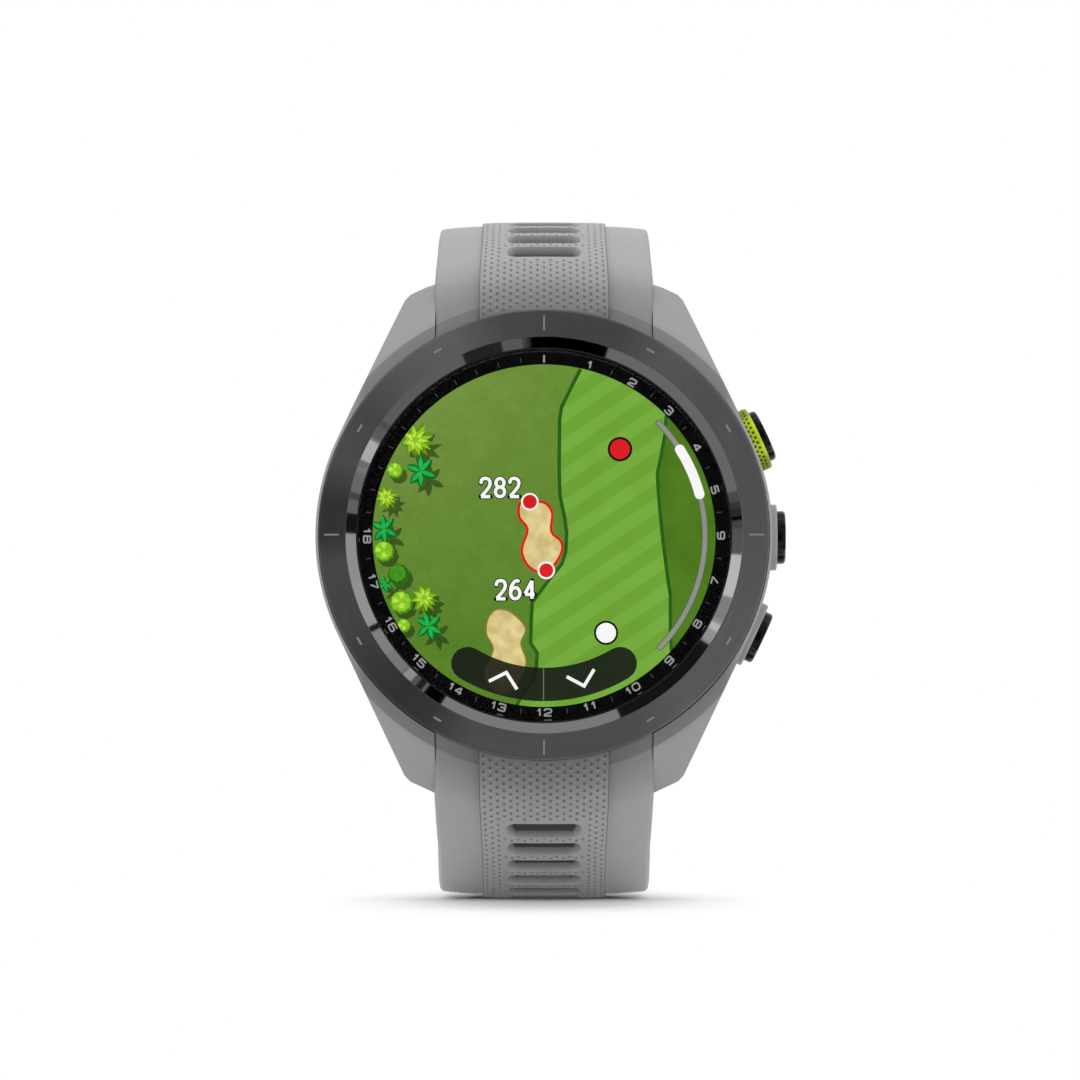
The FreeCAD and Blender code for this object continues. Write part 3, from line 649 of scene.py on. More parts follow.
    # the underside keeps the strap's thickness below the top wherever the top was moved
    dy = (y_new - y)[:, :nt]
    for i in range(nr):
        if rows[i] < 8 and np.abs(dy[i]).max() > 1e-6:
            y_new[i, nt:] = y[i, nt:] + np.interp(bx, xs, dy[i])
    rr2 = np.full_like(y_new, 20.67)
    lim2 = np.sqrt(np.clip(rr2 ** 2 - x ** 2, 0, None))
    z = np.where((~top_mask) & (y_new < 12) & (z < lim2), lim2, np.where(top_mask, zz, z))
    y = y_new
    P[..., 1], P[..., 2] = y, z
    if flip:
        P[..., 2] *= -1
    V = P.reshape(-1, 3) * MM
    idx = np.arange(nr * nc).reshape(nr, nc)
    a = idx[:-1, :]
    b = idx[1:, :]
    a2, b2 = np.roll(a, -1, axis=1), np.roll(b, -1, axis=1)
    quads = np.stack([a, b, b2, a2], axis=-1).reshape(-1, 4)
    if not flip:
        quads = quads[:, ::-1]
    faces = quads.tolist()
    # ends: bands between top and bottom columns
    for row, rev in ((0, False), (nr - 1, True)):
        ring_i = idx[row].tolist()
        cap = ring_i if rev != flip else ring_i[::-1]
        cap = cap[::-1]
        faces.append(cap)
    o = obj_from(name, V, faces, [mat], smooth=True, attr=np.clip(pit_shading, -1, 1).reshape(-1))
    bm = bmesh.new()
    bm.from_mesh(o.data)
    bmesh.ops.remove_doubles(bm, verts=bm.verts, dist=0.4e-6)
    bmesh.ops.dissolve_degenerate(bm, edges=bm.edges, dist=0.2e-6)
    bmesh.ops.triangulate(bm, faces=[f for f in bm.faces if len(f.verts) > 4])
    bmesh.ops.recalc_face_normals(bm, faces=bm.faces)
    bm.to_mesh(o.data)
    bm.free()
    return o


def extrude_yz(name, profile, x0, x1, mat, flip, holes=()):
    """Solid of a (y, z) polygon between two x planes."""
    bm = bmesh.new()
    s = -1 if flip else 1
    va = [bm.verts.new((x0 * MM, y * MM, s * z * MM)) for y, z in profile]
    vb = [bm.verts.new((x1 * MM, y * MM, s * z * MM)) for y, z in profile]
    n = len(profile)
    bm.faces.new(va)
    bm.faces.new(vb[::-1])
    for i in range(n):
        bm.faces.new((va[i], vb[i], vb[(i + 1) % n], va[(i + 1) % n]))
    bmesh.ops.recalc_face_normals(bm, faces=bm.faces)
    me = bpy.data.meshes.new(name)
    bm.to_mesh(me)
    bm.free()
    me.materials.append(mat)
    o = bpy.data.objects.new(name, me)
    C.objects.link(o)
    return o


def join(objs, name):
    with bpy.context.temp_override(active_object=objs[0], object=objs[0], selected_objects=objs, selected_editable_objects=objs):
        bpy.ops.object.join()
    objs[0].name = name
    objs[0].data.name = name
    return objs[0]


def shade_auto(o, deg=35):
    me = o.data
    me.polygons.foreach_set("use_smooth", [True] * len(me.polygons))
    bm = bmesh.new()
    bm.from_mesh(me)
    lim = math.radians(deg)
    for e in bm.edges:
        if len(e.link_faces) == 2:
            e.smooth = e.calc_face_angle(0) < lim
    bm.to_mesh(me)
    bm.free()


def barrel(name, flip, mat):
    """Rubber barrel round the strap bar, bored for the bar, open at the back for the release knob."""
    parts = []
    for x0, x1, gap in ((-9.93, 5.2, 0), (5.2, 8.2, 1), (8.2, 9.93, 0)):
        ro, ri = 2.1, 0.93
        if gap:
            h = math.asin(0.75 / ro)
            h2 = math.asin(0.75 / ri)
            oa = np.linspace(h, 2 * math.pi - h, 48)
            ia = np.linspace(2 * math.pi - h2, h2, 32)
            prof = [(BAR[0] + ro * math.cos(t), BAR[1] + ro * math.sin(t)) for t in oa]
            prof += [(BAR[0] + ri * math.cos(t), BAR[1] + ri * math.sin(t)) for t in ia]
        else:
            # a closed annulus, cut by a hair-thin seam inside the rubber
            oa = np.linspace(0.002, 2 * math.pi - 0.002, 56)
            prof = [(BAR[0] + ro * math.cos(t + math.pi * 0.75), BAR[1] + ro * math.sin(t + math.pi * 0.75)) for t in oa]
            prof += [(BAR[0] + ri * math.cos(t + math.pi * 0.75), BAR[1] + ri * math.sin(t + math.pi * 0.75)) for t in oa[::-1]]
        p = extrude_yz(name + "_p", prof, x0, x1, mat, flip)
        a = p.data.attributes.new("pit_shading", "FLOAT", "POINT")
        parts.append(p)
    o = join(parts, name)
    shade_auto(o, 40)
    return o


LU, LL = chain_len(UP), chain_len(LOW)
S_BAR = LU - 2.2

up = strap_mesh("upper_strap_rubber", UP, S_BAR - 1.9, S_BAR - 3.4, 8, False, False, M["strap"])
low = strap_mesh("lower_strap_rubber", LOW, LL, LL - 9.0, 8, True, True, M["strap"])

# end of the upper strap: two lobes round the buckle bar, with the tongue's slot between them
yb, zb, phb = chain_at(UP, S_BAR)
yb, zb = yb + (T / 2 + 0.2) * math.cos(phb), zb - (T / 2 + 0.2) * math.sin(phb)
dvec = (math.sin(phb), math.cos(phb))
nvec = (-math.cos(phb), math.sin(phb))


def at_bar(u, n):
    return yb + dvec[0] * u + nvec[0] * n, zb + dvec[1] * u + nvec[1] * n


lobes = []
for sx in (-1, 1):
    prof = [at_bar(-1.9, 1.17), at_bar(0.0, 1.17)]
    prof += [at_bar(1.17 * math.sin(t) * 1.2, -0.065 + 1.235 * math.cos(t)) for t in np.linspace(0.15, math.pi - 0.15, 16)]
    prof += [at_bar(0.0, -1.3), at_bar(-1.9, -1.3)]
    x0, x1 = (1.4, 9.8) if sx > 0 else (-9.8, -1.4)
    p = extrude_yz("lobe", prof, x0, x1, M["strap"], False)
    p.data.attributes.new("pit_shading", "FLOAT", "POINT")
    lobes.append(p)
for p in lobes:
    shade_auto(p, 40)
end = join(lobes, "upper_strap_end")

ub = barrel("upper_strap_barrel", False, M["strap"])
lb = barrel("lower_strap_barrel", True, M["strap"])

# adjustment holes right through the long strap
cut_parts = []
for k in range(9):
    s = LL - 7.5 - 6.2 * k
    y, z, ph = chain_at(LOW, s)
    bm = bmesh.new()
    n = 40
    rings = []
    for h, r in ((-4.2, 1.4), (-3.0, 1.28), (-2.85, 1.15), (-0.68, 1.15), (-0.5, 1.3), (0.8, 1.5)):
        ring = []
        for i in range(n):
            t = 2 * math.pi * i / n
            u = r * math.sin(t)
            ring.append(bm.verts.new((r * math.cos(t) * MM, (y + u * math.sin(ph) - h * math.cos(ph)) * MM,
                                      -(z + u * math.cos(ph) + h * math.sin(ph)) * MM)))
        rings.append(ring)
    for a, b in zip(rings, rings[1:]):
        for i in range(n):
            bm.faces.new((a[i], a[(i + 1) % n], b[(i + 1) % n], b[i]))
    bm.faces.new(rings[0])
    bm.faces.new(rings[-1])
    bmesh.ops.recalc_face_normals(bm, faces=bm.faces)
    me = bpy.data.meshes.new("cut")
    bm.to_mesh(me)
    bm.free()
    c = bpy.data.objects.new("cut%d" % k, me)
    C.objects.link(c)
    cut_parts.append(c)
cutter = join(cut_parts, "cutter")
for o in (low, cutter):
    bm = bmesh.new()
    bm.from_mesh(o.data)
    bmesh.ops.triangulate(bm, faces=bm.faces)
    bm.to_mesh(o.data)
    bm.free()
mod = low.modifiers.new("holes", "BOOLEAN")
mod.operation = "DIFFERENCE"
mod.object = cutter
mod.solver = "EXACT"
dg = bpy.context.evaluated_depsgraph_get()
ev = low.evaluated_get(dg)
newme = bpy.data.meshes.new_from_object(ev)
low.modifiers.clear()
old = low.data
low.data = newme
newme.name = "lower_strap_rubber"
bpy.data.objects.remove(cutter)
print("lower strap faces", len(newme.polygons))
for p in (up, low):
    shade_auto(p, 50)

for p, b, n in ((up, "upper_strap_assembly", "upper_strap"), (ub, "upper_strap_assembly", "upper_strap"),
                (end, "upper_strap_assembly", "upper_strap"), (low, "lower_strap_assembly", "lower_strap"),
                (lb, "lower_strap_assembly", "lower_strap")):
    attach(p, b)
    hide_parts(n)

# ------------------------------------------------------------------ lime collar with dimples


def accent():
    na = 36 * 8
    prof = []   # (radius, height) around the collar's section, outside up, then over and down the bore
    h0, h1 = 20.55, 21.95
    RO, RI = 3.0, 2.56
    out = [(RO, h0)] + [(RO, h0 + (h1 - 0.16 - h0) * i / 26) for i in range(1, 27)]
    out += [(RO - 0.16 * (1 - math.cos(a)), h1 - 0.16 + 0.16 * math.sin(a)) for a in (0.5, 1.0, math.pi / 2)]
    out += [(RI + 0.12, h1), (RI + 0.04, h1 - 0.04), (RI, h1 - 0.12), (RI, h0)]
    V, F, A = [], [], []
    n = len(out)
    for i in range(na):
        t = 2 * math.pi * i / na
        for r, h in out:
            p = 0.0
            if r >= RO - 0.001 and h < h1 - 0.1:
                for row, off in ((21.12, 0.5), (21.47, 0.0)):
                    v = i / 8.0 - off
                    dv = (v - round(v)) * 0.52
                    q = 1 - math.hypot(dv / 0.19, (h - row) / 0.17)
                    p = max(p, min(1.0, max(0.0, q) * 1.8))
            rr = r - 0.14 * p
            V.append((rr * math.cos(t) * MM, (5.0 + rr * math.sin(t)) * MM, h * MM))
            A.append(p)
    for i in range(na):
        for j in range(n):
            a, b = i * n + j, i * n + (j + 1) % n
            c, d = ((i + 1) % na) * n + (j + 1) % n, ((i + 1) % na) * n + j
            F.append((a, b, c, d))
    R = Matrix.Rotation(math.radians(65), 3, "Y")
    V = [R @ Vector(v) for v in V]
    o = obj_from("accent_collar", V, F, [M["lime"]], smooth=True, attr=A)
    bm = bmesh.new()
    bm.from_mesh(o.data)
    bmesh.ops.recalc_face_normals(bm, faces=bm.faces)
    bm.to_mesh(o.data)
    bm.free()
    shade_auto(o, 60)
    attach(o, "case")
    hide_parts("button_accent_ring")


accent()

# ------------------------------------------------------------------ bezel, turned with crisp edges


def arc_pts(cx, cy, r, a0, a1, n):
    return [(cx + r * math.cos(math.radians(a0 + (a1 - a0) * i / n)), cy + r * math.sin(math.radians(a0 + (a1 - a0) * i / n))) for i in range(n + 1)]


def turned(name, prof, seg, sharp, mat):
    """Revolve (radius, y) points round the dial axis; sharp is not used."""
    V, F = [], []
    n = len(prof)
    for i in range(seg):
        t = 2 * math.pi * i / seg
        for r, y in prof:
            V.append((r * math.sin(t) * MM, y * MM, r * math.cos(t) * MM))
    for i in range(seg):
        for j in range(n):
            a, b = i * n + j, i * n + (j + 1) % n
            c, d = ((i + 1) % seg) * n + (j + 1) % n, ((i + 1) % seg) * n + j
            F.append((a, b, c, d))
    o = obj_from(name, V, F, [mat], smooth=True)
    bm = bmesh.new()
    bm.from_mesh(o.data)
    bmesh.ops.recalc_face_normals(bm, faces=bm.faces)
    bm.to_mesh(o.data)
    bm.free()
    shade_auto(o, 22)
    return o


BZ = [(17.25, -0.02), (18.2, -0.7), (18.6, -0.7), (19.2, -0.7), (19.8, -0.7), (20.4, -0.7), (20.56, -0.7), (20.60, -0.693),
      (20.634, -0.672), (20.65, -0.63), (20.65, -0.3), (20.65, 0.4), (20.65, 1.2), (19.95, 1.2), (19.95, 0.85), (19.25, 0.85), (19.25, 1.2), (18.7, 1.2), (18.7, 2.6), (17.9, 2.6), (17.9, 1.95), (16.75, 1.95), (16.75, 1.32),
      (17.25, 1.32)]
bz = turned("bezel_turned", BZ, 360, (), M["bezel"])
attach(bz, "case")
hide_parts("bezel")

mv, mf = [], []


def mark(r0, r1, w, deg):
    """A filled index mark, its corners eased, standing a hair above the land."""
    t = math.radians(deg)
    e = min(0.03, w / 3)
    pts = [(r0 + e, -w / 2), (r1 - e, -w / 2), (r1, -w / 2 + e), (r1, w / 2 - e), (r1 - e, w / 2), (r0 + e, w / 2), (r0, w / 2 - e), (r0, -w / 2 + e)]
    b = len(mv)
    for y, k in ((-0.7025, 0.94), (-0.700, 1.0), (-0.66, 1.0)):
        for r, u in pts:
            rc = (r0 + r1) / 2
            r2, u2 = rc + (r - rc) * (1 - (1 - k) * 0.2), u * k
            mv.append(((r2 * math.sin(t) + u2 * math.cos(t)) * MM, y * MM, (r2 * math.cos(t) - u2 * math.sin(t)) * MM))
    mf.append(tuple(range(b, b + 8)))
    mf.append(tuple(range(b + 23, b + 15, -1)))
    for q2 in (0, 8):
        for i in range(8):
            j = (i + 1) % 8
            mf.append((b + q2 + j, b + q2 + i, b + q2 + 8 + i, b + q2 + 8 + j))


for k in range(12):
    if k % 3 == 0:
        mark(19.46 - 0.69, 19.46 + 0.69, 0.16, 30 * k)
    else:
        mark(19.40, 19.60, 0.78, 30 * k)
mk = obj_from("bezel_marks", mv, mf, [M["inlay"]])
bm = bmesh.new()
bm.from_mesh(mk.data)
bmesh.ops.recalc_face_normals(bm, faces=bm.faces)
bm.to_mesh(mk.data)
bm.free()
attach(mk, "case")
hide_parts("bezel_index_marks")

# ------------------------------------------------------------------ screen picture
# Flat shapes in thin layers between the panel and the glass. Coordinates are in tenths of a screen unit:
# x right and z down from the centre, 10.89 units to a millimetre.
U = 10.89
Y_BACK, Y_FRONT = 1.352, 1.312
layers = {"v": [], "f": [], "m": []}
pic_mats = []
mat_i = {}


def pm(key, mat):
    mat_i[key] = len(pic_mats)
    pic_mats.append(mat)


def add_poly(pts, layer, key, th=0.0035):
    """Thin solid of a polygon given in screen units about the centre."""
    P = [(x / U, -y / U) for x, y in pts]
    area = sum(P[i][0] * P[(i + 1) % len(P)][1] - P[(i + 1) % len(P)][0] * P[i][1] for i in range(len(P)))
    if area < 0:
        P = P[::-1]
    y1 = Y_BACK - layer * 0.0045
    y0 = y1 - th
    b = len(layers["v"])
    n = len(P)
    layers["v"] += [(x * MM, y0 * MM, z * MM) for x, z in P] + [(x * MM, y1 * MM, z * MM) for x, z in P]
    layers["f"].append(tuple(range(b, b + n)))
    layers["f"].append(tuple(range(b + 2 * n - 1, b + n - 1, -1)))
    layers["m"] += [mat_i[key]] * 2
    for i in range(n):
        j = (i + 1) % n
        layers["f"].append((b + j, b + i, b + n + i, b + n + j))
        layers["m"].append(mat_i[key])


def px(pts):
    return [(x - 544.0, y - 535.0) for x, y in pts]


def smooth_loop(pts, closed=True, n=6):
    """Catmull-Rom points through the given ones."""
    out = []
    m = len(pts)
    rng = range(m) if closed else range(m - 1)
    for i in rng:
        if closed:
            p0, p1, p2, p3 = pts[i - 1], pts[i], pts[(i + 1) % m], pts[(i + 2) % m]
        else:
            p0, p1, p2, p3 = pts[max(i - 1, 0)], pts[i], pts[i + 1], pts[min(i + 2, m - 1)]
        for k in range(n):
            t = k / n
            t2, t3 = t * t, t * t * t
            out.append(tuple(0.5 * (2 * p1[d] + (p2[d] - p0[d]) * t + (2 * p0[d] - 5 * p1[d] + 4 * p2[d] - p3[d]) * t2
                                    + (3 * p1[d] - p0[d] - 3 * p2[d] + p3[d]) * t3) for d in (0, 1)))
    if not closed:
        out.append(pts[-1])
    return out


def ribbon(pts, w, layer, key, closed=False, round_ends=False):
    """A line of even width, mitred."""
    n = len(pts)
    L, R = [], []
    for i in range(n):
        if closed:
            a, b = pts[i - 1], pts[(i + 1) % n]
            d1 = (pts[i][0] - a[0], pts[i][1] - a[1])
            d2 = (b[0] - pts[i][0], b[1] - pts[i][1])
        else:
            a, b = pts[max(i - 1, 0)], pts[min(i + 1, n - 1)]
            d1 = (pts[i][0] - a[0], pts[i][1] - a[1]) if i > 0 else (b[0] - pts[i][0], b[1] - pts[i][1])
            d2 = (b[0] - pts[i][0], b[1] - pts[i][1]) if i < n - 1 else d1
        l1, l2 = math.hypot(*d1) or 1, math.hypot(*d2) or 1
        n1, n2 = (-d1[1] / l1, d1[0] / l1), (-d2[1] / l2, d2[0] / l2)
        m = (n1[0] + n2[0], n1[1] + n2[1])
        lm = math.hypot(*m) or 1
        m = (m[0] / lm, m[1] / lm)
        c = max(0.35, m[0] * n1[0] + m[1] * n1[1])
        k = w / 2 / c
        L.append((pts[i][0] + m[0] * k, pts[i][1] + m[1] * k))
        R.append((pts[i][0] - m[0] * k, pts[i][1] - m[1] * k))
    if closed:
        for i in range(n):
            j = (i + 1) % n
            add_poly([L[i], L[j], R[j], R[i]], layer, key)
        return
    if round_ends:
        e = []
        a = math.atan2(L[-1][1] - pts[-1][1], L[-1][0] - pts[-1][0])
        for k in range(1, 8):
            t = a - math.pi * k / 8
            e.append((pts[-1][0] + w / 2 * math.cos(t), pts[-1][1] + w / 2 * math.sin(t)))
        s = []
        a = math.atan2(R[0][1] - pts[0][1], R[0][0] - pts[0][0])
        for k in range(1, 8):
            t = a - math.pi * k / 8
            s.append((pts[0][0] + w / 2 * math.cos(t), pts[0][1] + w / 2 * math.sin(t)))
        add_poly(L + e + R[::-1] + s, layer, key)
    else:
        add_poly(L + R[::-1], layer, key)


def arc(r, a0, a1, n=24):
    """Points on a circle by clock angle, screen y down."""
    return [(r * math.sin(math.radians(a0 + (a1 - a0) * i / n)), -r * math.cos(math.radians(a0 + (a1 - a0) * i / n))) for i in range(n + 1)]


def circle(cx, cy, r, n=40):
    return [(cx + r * math.cos(2 * math.pi * i / n), cy + r * math.sin(2 * math.pi * i / n)) for i in range(n)]


E = 1.06
pm("rough", lit_grad("scr_rough", (122, 152, 70), (108, 146, 54), (92, 134, 44), 500, 0.16, strength=E * 1.06))
pm("rough2", lit("scr_rough_right", (70, 112, 25), (84, 126, 34), scale=260, detail=4, strength=E))
pm("fair", lit("scr_fairway", (117, 170, 62), (122, 175, 67), scale=300, detail=4, stripes=(math.radians(-34.0), 0.00232, (109, 161, 52)), strength=E))
pm("edge", lit("scr_edge", (34, 92, 22), (44, 100, 28), strength=E))
pm("sand", lit("scr_sand", (206, 184, 122), (232, 214, 152), scale=900, detail=4, strength=E))
pm("sandrim", lit("scr_sand_rim", (134, 116, 56), (150, 128, 62), strength=E))
pm("red", lit("scr_red", (214, 28, 34), (222, 34, 38), strength=E))
pm("redline", lit("scr_red_line", (212, 24, 20), (224, 34, 26), strength=E))
pm("black", lit("scr_black", (12, 14, 10), (16, 18, 12), strength=E))
pm("white", lit("scr_white", (246, 246, 246), (252, 252, 252), strength=E))
pm("grey", lit("scr_grey", (138, 142, 134), (146, 150, 142), strength=E))
pm("greydark", lit("scr_grey_dark", (84, 104, 62), (90, 110, 66), strength=E))
pm("pill", lit("scr_pill", (26, 30, 24), (30, 34, 28), strength=E, alpha=0.84))
pm("pillline", lit("scr_pill_line", (104, 112, 96), (110, 118, 102), strength=E))
pm("limeD", lit("scr_lime_dark", (74, 128, 22), (92, 150, 30), scale=2500, strength=E))
pm("limeM", lit("scr_lime_mid", (122, 186, 32), (146, 208, 44), scale=2500, strength=E))
pm("limeL", lit("scr_lime_light", (170, 226, 62), (190, 238, 84), scale=2500, strength=E))
pm("starD", lit("scr_star_dark", (86, 136, 18), (104, 154, 26), scale=2500, strength=E))
pm("starM", lit("scr_star_mid", (132, 186, 30), (152, 204, 42), scale=2500, strength=E))
pm("starL", lit("scr_star_light", (184, 224, 66), (202, 236, 88), scale=2500, strength=E))
pm("palmD", lit("scr_palm_dark", (8, 96, 32), (14, 112, 40), scale=2500, strength=E))
pm("palmL", lit("scr_palm_light", (26, 166, 66), (40, 186, 80), scale=2500, strength=E))
pm("roundD", lit("scr_round_dark", (34, 100, 20), (44, 116, 26), scale=2500, strength=E))
pm("roundM", lit("scr_round_mid", (58, 138, 30), (74, 154, 38), scale=2500, strength=E))
pm("shade", lit("scr_shade", (34, 58, 14), (38, 64, 18), strength=E, alpha=0.5))

add_poly(circle(0, 0, 174, 120), 0, "rough")
Lb = px([(580.6, 368), (573, 383), (561.6, 406), (559.6, 419), (559.1, 466), (559.9, 495), (564.5, 516.5), (566.6, 532), (565.7, 551),
         (561.8, 563.5), (549.4, 578.8), (538.9, 593), (532.2, 602), (531.2, 620), (530.6, 642.7), (537.2, 652.6), (536.4, 666), (533.9, 679),
         (522.3, 694), (516, 706)])
Rb = px([(666.5, 414), (665.2, 432.7), (661, 456), (657.4, 472.4), (658.6, 495.7), (662.7, 538.8), (667.7, 578), (670.2, 594.6), (670.2, 636), (671.5, 652)])
add_poly(Lb + arc(173.5, 189.3, 132.5, 30) + Rb[::-1] + arc(173.5, 45.8, 12.6, 20), 1, "fair")
add_poly(Rb + arc(173.5, 132.5, 45.8, 40), 1.5, "rough2")
ribbon(Lb, 3.6, 3, "edge")
ribbon(Rb, 3.4, 3, "edge")
B1 = smooth_loop(px([(519.7, 503.3), (519.3, 516.7), (527.4, 528.6), (522.1, 546.3), (522.6, 554.9), (527.4, 564.5), (537, 571.2), (546.5, 570.2), (554.2, 564.5),
                     (561.8, 551.1), (560.9, 540.6), (551.3, 531), (552.3, 512.8), (546.5, 503.3), (538.9, 500.9), (528, 499.5)]), True, 4)
add_poly(B1, 3.4, "sand")
ribbon(B1, 2.6, 4.2, "redline", closed=True)
B2 = smooth_loop(px([(499, 608.7), (512.4, 613), (525.6, 627.8), (520.7, 642.7), (525.6, 657.6), (525.6, 666), (523, 676), (512.4, 690.8), (499, 694),
                     (485.8, 681), (484.2, 669), (493.3, 649.4), (486.7, 634.4), (486.7, 622.8), (490.8, 613.7)]), True, 4)
add_poly(B2, 3.4, "sand")
ribbon(B2, 1.4, 4.0, "sandrim", closed=True)
# pins and balls
for x, y, r1, k1, r0, k0 in ((529.8, 501.2, 7.0, "red", 8.8, "white"), (546.2, 569.9, 7.0, "red", 8.8, "white"),
                             (620, 448.5, 10.0, "red", 12.3, "black"), (606, 632.4, 10.0, "white", 12.1, "black")):
    add_poly(circle(x - 544, y - 535, r0), 5.2, k0)
    add_poly(circle(x - 544, y - 535, r1), 6.1, k1)
# scroll mark at the right
ribbon(arc(161, 45.5, 134, 60), 6.4, 4.0, "greydark", round_ends=True)
ribbon(arc(161, 45.5, 134, 60), 4.6, 4.9, "grey", round_ends=True)
ribbon(arc(161, 57.6, 75.2, 24), 9.8, 5.8, "white", round_ends=True)


def star(cx, cy, r, n, inner, rot, layer, key):
    pts = []
    for i in range(2 * n):
        rr = r if i % 2 == 0 else r * inner
        rr *= 1 + 0.13 * math.sin(i * 2.7 + cx)
        a = rot + math.pi * i / n
        pts.append((cx - 544 + rr * math.cos(a), cy - 535 + rr * math.sin(a)))
    add_poly(pts, layer, key)


def blob(cx, cy, r, layer, key, lumps=9, amp=0.07, rot=0.0):
    pts = []
    for i in range(48):
        a = 2 * math.pi * i / 48
        rr = r * (1 - amp * abs(math.sin(lumps * a / 2 + rot)))
        pts.append((cx - 544 + rr * math.cos(a), cy - 535 + rr * math.sin(a)))
    add_poly(pts, layer, key)


def leaf(cx, cy, r, ang, w, layer, key):
    pts = []
    for i in range(9):
        t = i / 8
        pts.append((t * r, w * r * math.sin(math.pi * min(1, t * 1.05)) ** 0.8 if i not in (0, 8) else 0))
    pts = pts + [(x, -y) for x, y in pts[-2:0:-1]]
    c, s = math.cos(ang), math.sin(ang)
    add_poly([(cx - 544 + x * c - y * s, cy - 535 + x * s + y * c) for x, y in pts], layer, key)


def plant(kind, cx, cy, r):
    if kind == "round":
        blob(cx + 4, cy + 5, r, 4.0, "shade")
        blob(cx, cy, r, 4.9, "limeD", 11, 0.1)
        blob(cx - 0.6, cy - 0.8, r * 0.88, 5.8, "limeM", 10, 0.12, 0.6)
        for k in range(7):
            a = k * 0.9 + 0.4
            blob(cx - 0.1 * r + 0.42 * r * math.cos(a), cy - 0.16 * r + 0.42 * r * math.sin(a), r * 0.27, 6.7, "limeL" if k % 2 else "limeM", 6, 0.12, k)
    elif kind == "dark":
        blob(cx + 4, cy + 5, r, 4.0, "shade")
        blob(cx, cy, r, 4.9, "roundD", 12, 0.06)
        blob(cx - 1.2, cy - 1.4, r * 0.78, 5.8, "roundM", 11, 0.08, 0.5)
    elif kind == "star":
        star(cx + 7, cy + 8, r * 1.1, 9, 0.66, 0.5, 4.0, "shade")
        star(cx, cy, r * 1.15, 9, 0.58, 0.2, 4.9, "starD")
        star(cx - 0.3, cy - 0.5, r * 1.0, 8, 0.5, 0.55, 5.5, "starM")
        star(cx - 0.4, cy - 0.7, r * 0.74, 7, 0.42, 0.1, 6.1, "starL")
        star(cx - 0.5, cy - 1.0, r * 0.42, 6, 0.4, 0.7, 6.7, "starM")
    else:
        for k in range(6):
            leaf(cx + 8, cy + 9, r * 1.1, 2 * math.pi * k / 6 + 0.4 + 0.2 * math.sin(k * 2.1 + cx), 0.2, 4.0, "shade")
        for k in range(6):
            a = 2 * math.pi * k / 6 + 0.4 + 0.2 * math.sin(k * 2.1 + cx)
            leaf(cx, cy, r * 1.12, a, 0.24, 4.9 + 0.3 * (k % 2), "palmD")
            leaf(cx - 0.4, cy - 0.6, r * 1.04, a - 0.05, 0.14, 5.9 + 0.3 * (k % 2), "palmL")


for kd, x, y, r in (("star", 416, 440, 16), ("round", 395, 470, 8.5), ("palm", 421, 471, 15), ("star", 386, 497, 11), ("palm", 384, 529, 13.5),
                    ("round", 384, 551, 11), ("dark", 398.5, 574, 11), ("palm", 385, 584, 8), ("star", 424, 598, 13), ("round", 401.5, 602, 12.2),
                    ("round", 404, 625.5, 7.2), ("palm", 429, 626, 14)):
    # keep the plants inside the round screen
    d = math.hypot(x - 544, y - 535)
    if d + r * 0.62 > 171.5:
        k = (171.5 - r * 0.62) / d
        x, y = 544 + (x - 544) * k, 535 + (y - 535) * k
    plant(kd, x, y, r)

# menu bar with two chevrons
ribbon(arc(149, 149.2, 210.8, 60), 33.4, 7.7, "pill", round_ends=True)
ribbon([(-0.5, 133), (-0.5, 165)], 1.1, 8.6, "pillline")
ribbon(px([(488.9, 680.8), (506.3, 672.1), (517, 688.9)]), 3.3, 8.6, "white")
ribbon(px([(566.6, 676.2), (584, 685.5), (594.1, 668.8)]), 3.3, 8.6, "white")

# ---- digits drawn as strokes in a unit box (x right, y down)
c_ = 0.26


def rbox(x0, y0, x1, y1, c=c_):
    return [(x0 + c, y0), (x1 - c, y0), (x1 - c * 0.3, y0 + c * 0.3), (x1, y0 + c), (x1, y1 - c), (x1 - c * 0.3, y1 - c * 0.3), (x1 - c, y1),
            (x0 + c, y1), (x0 + c * 0.3, y1 - c * 0.3), (x0, y1 - c), (x0, y0 + c), (x0 + c * 0.3, y0 + c * 0.3)]


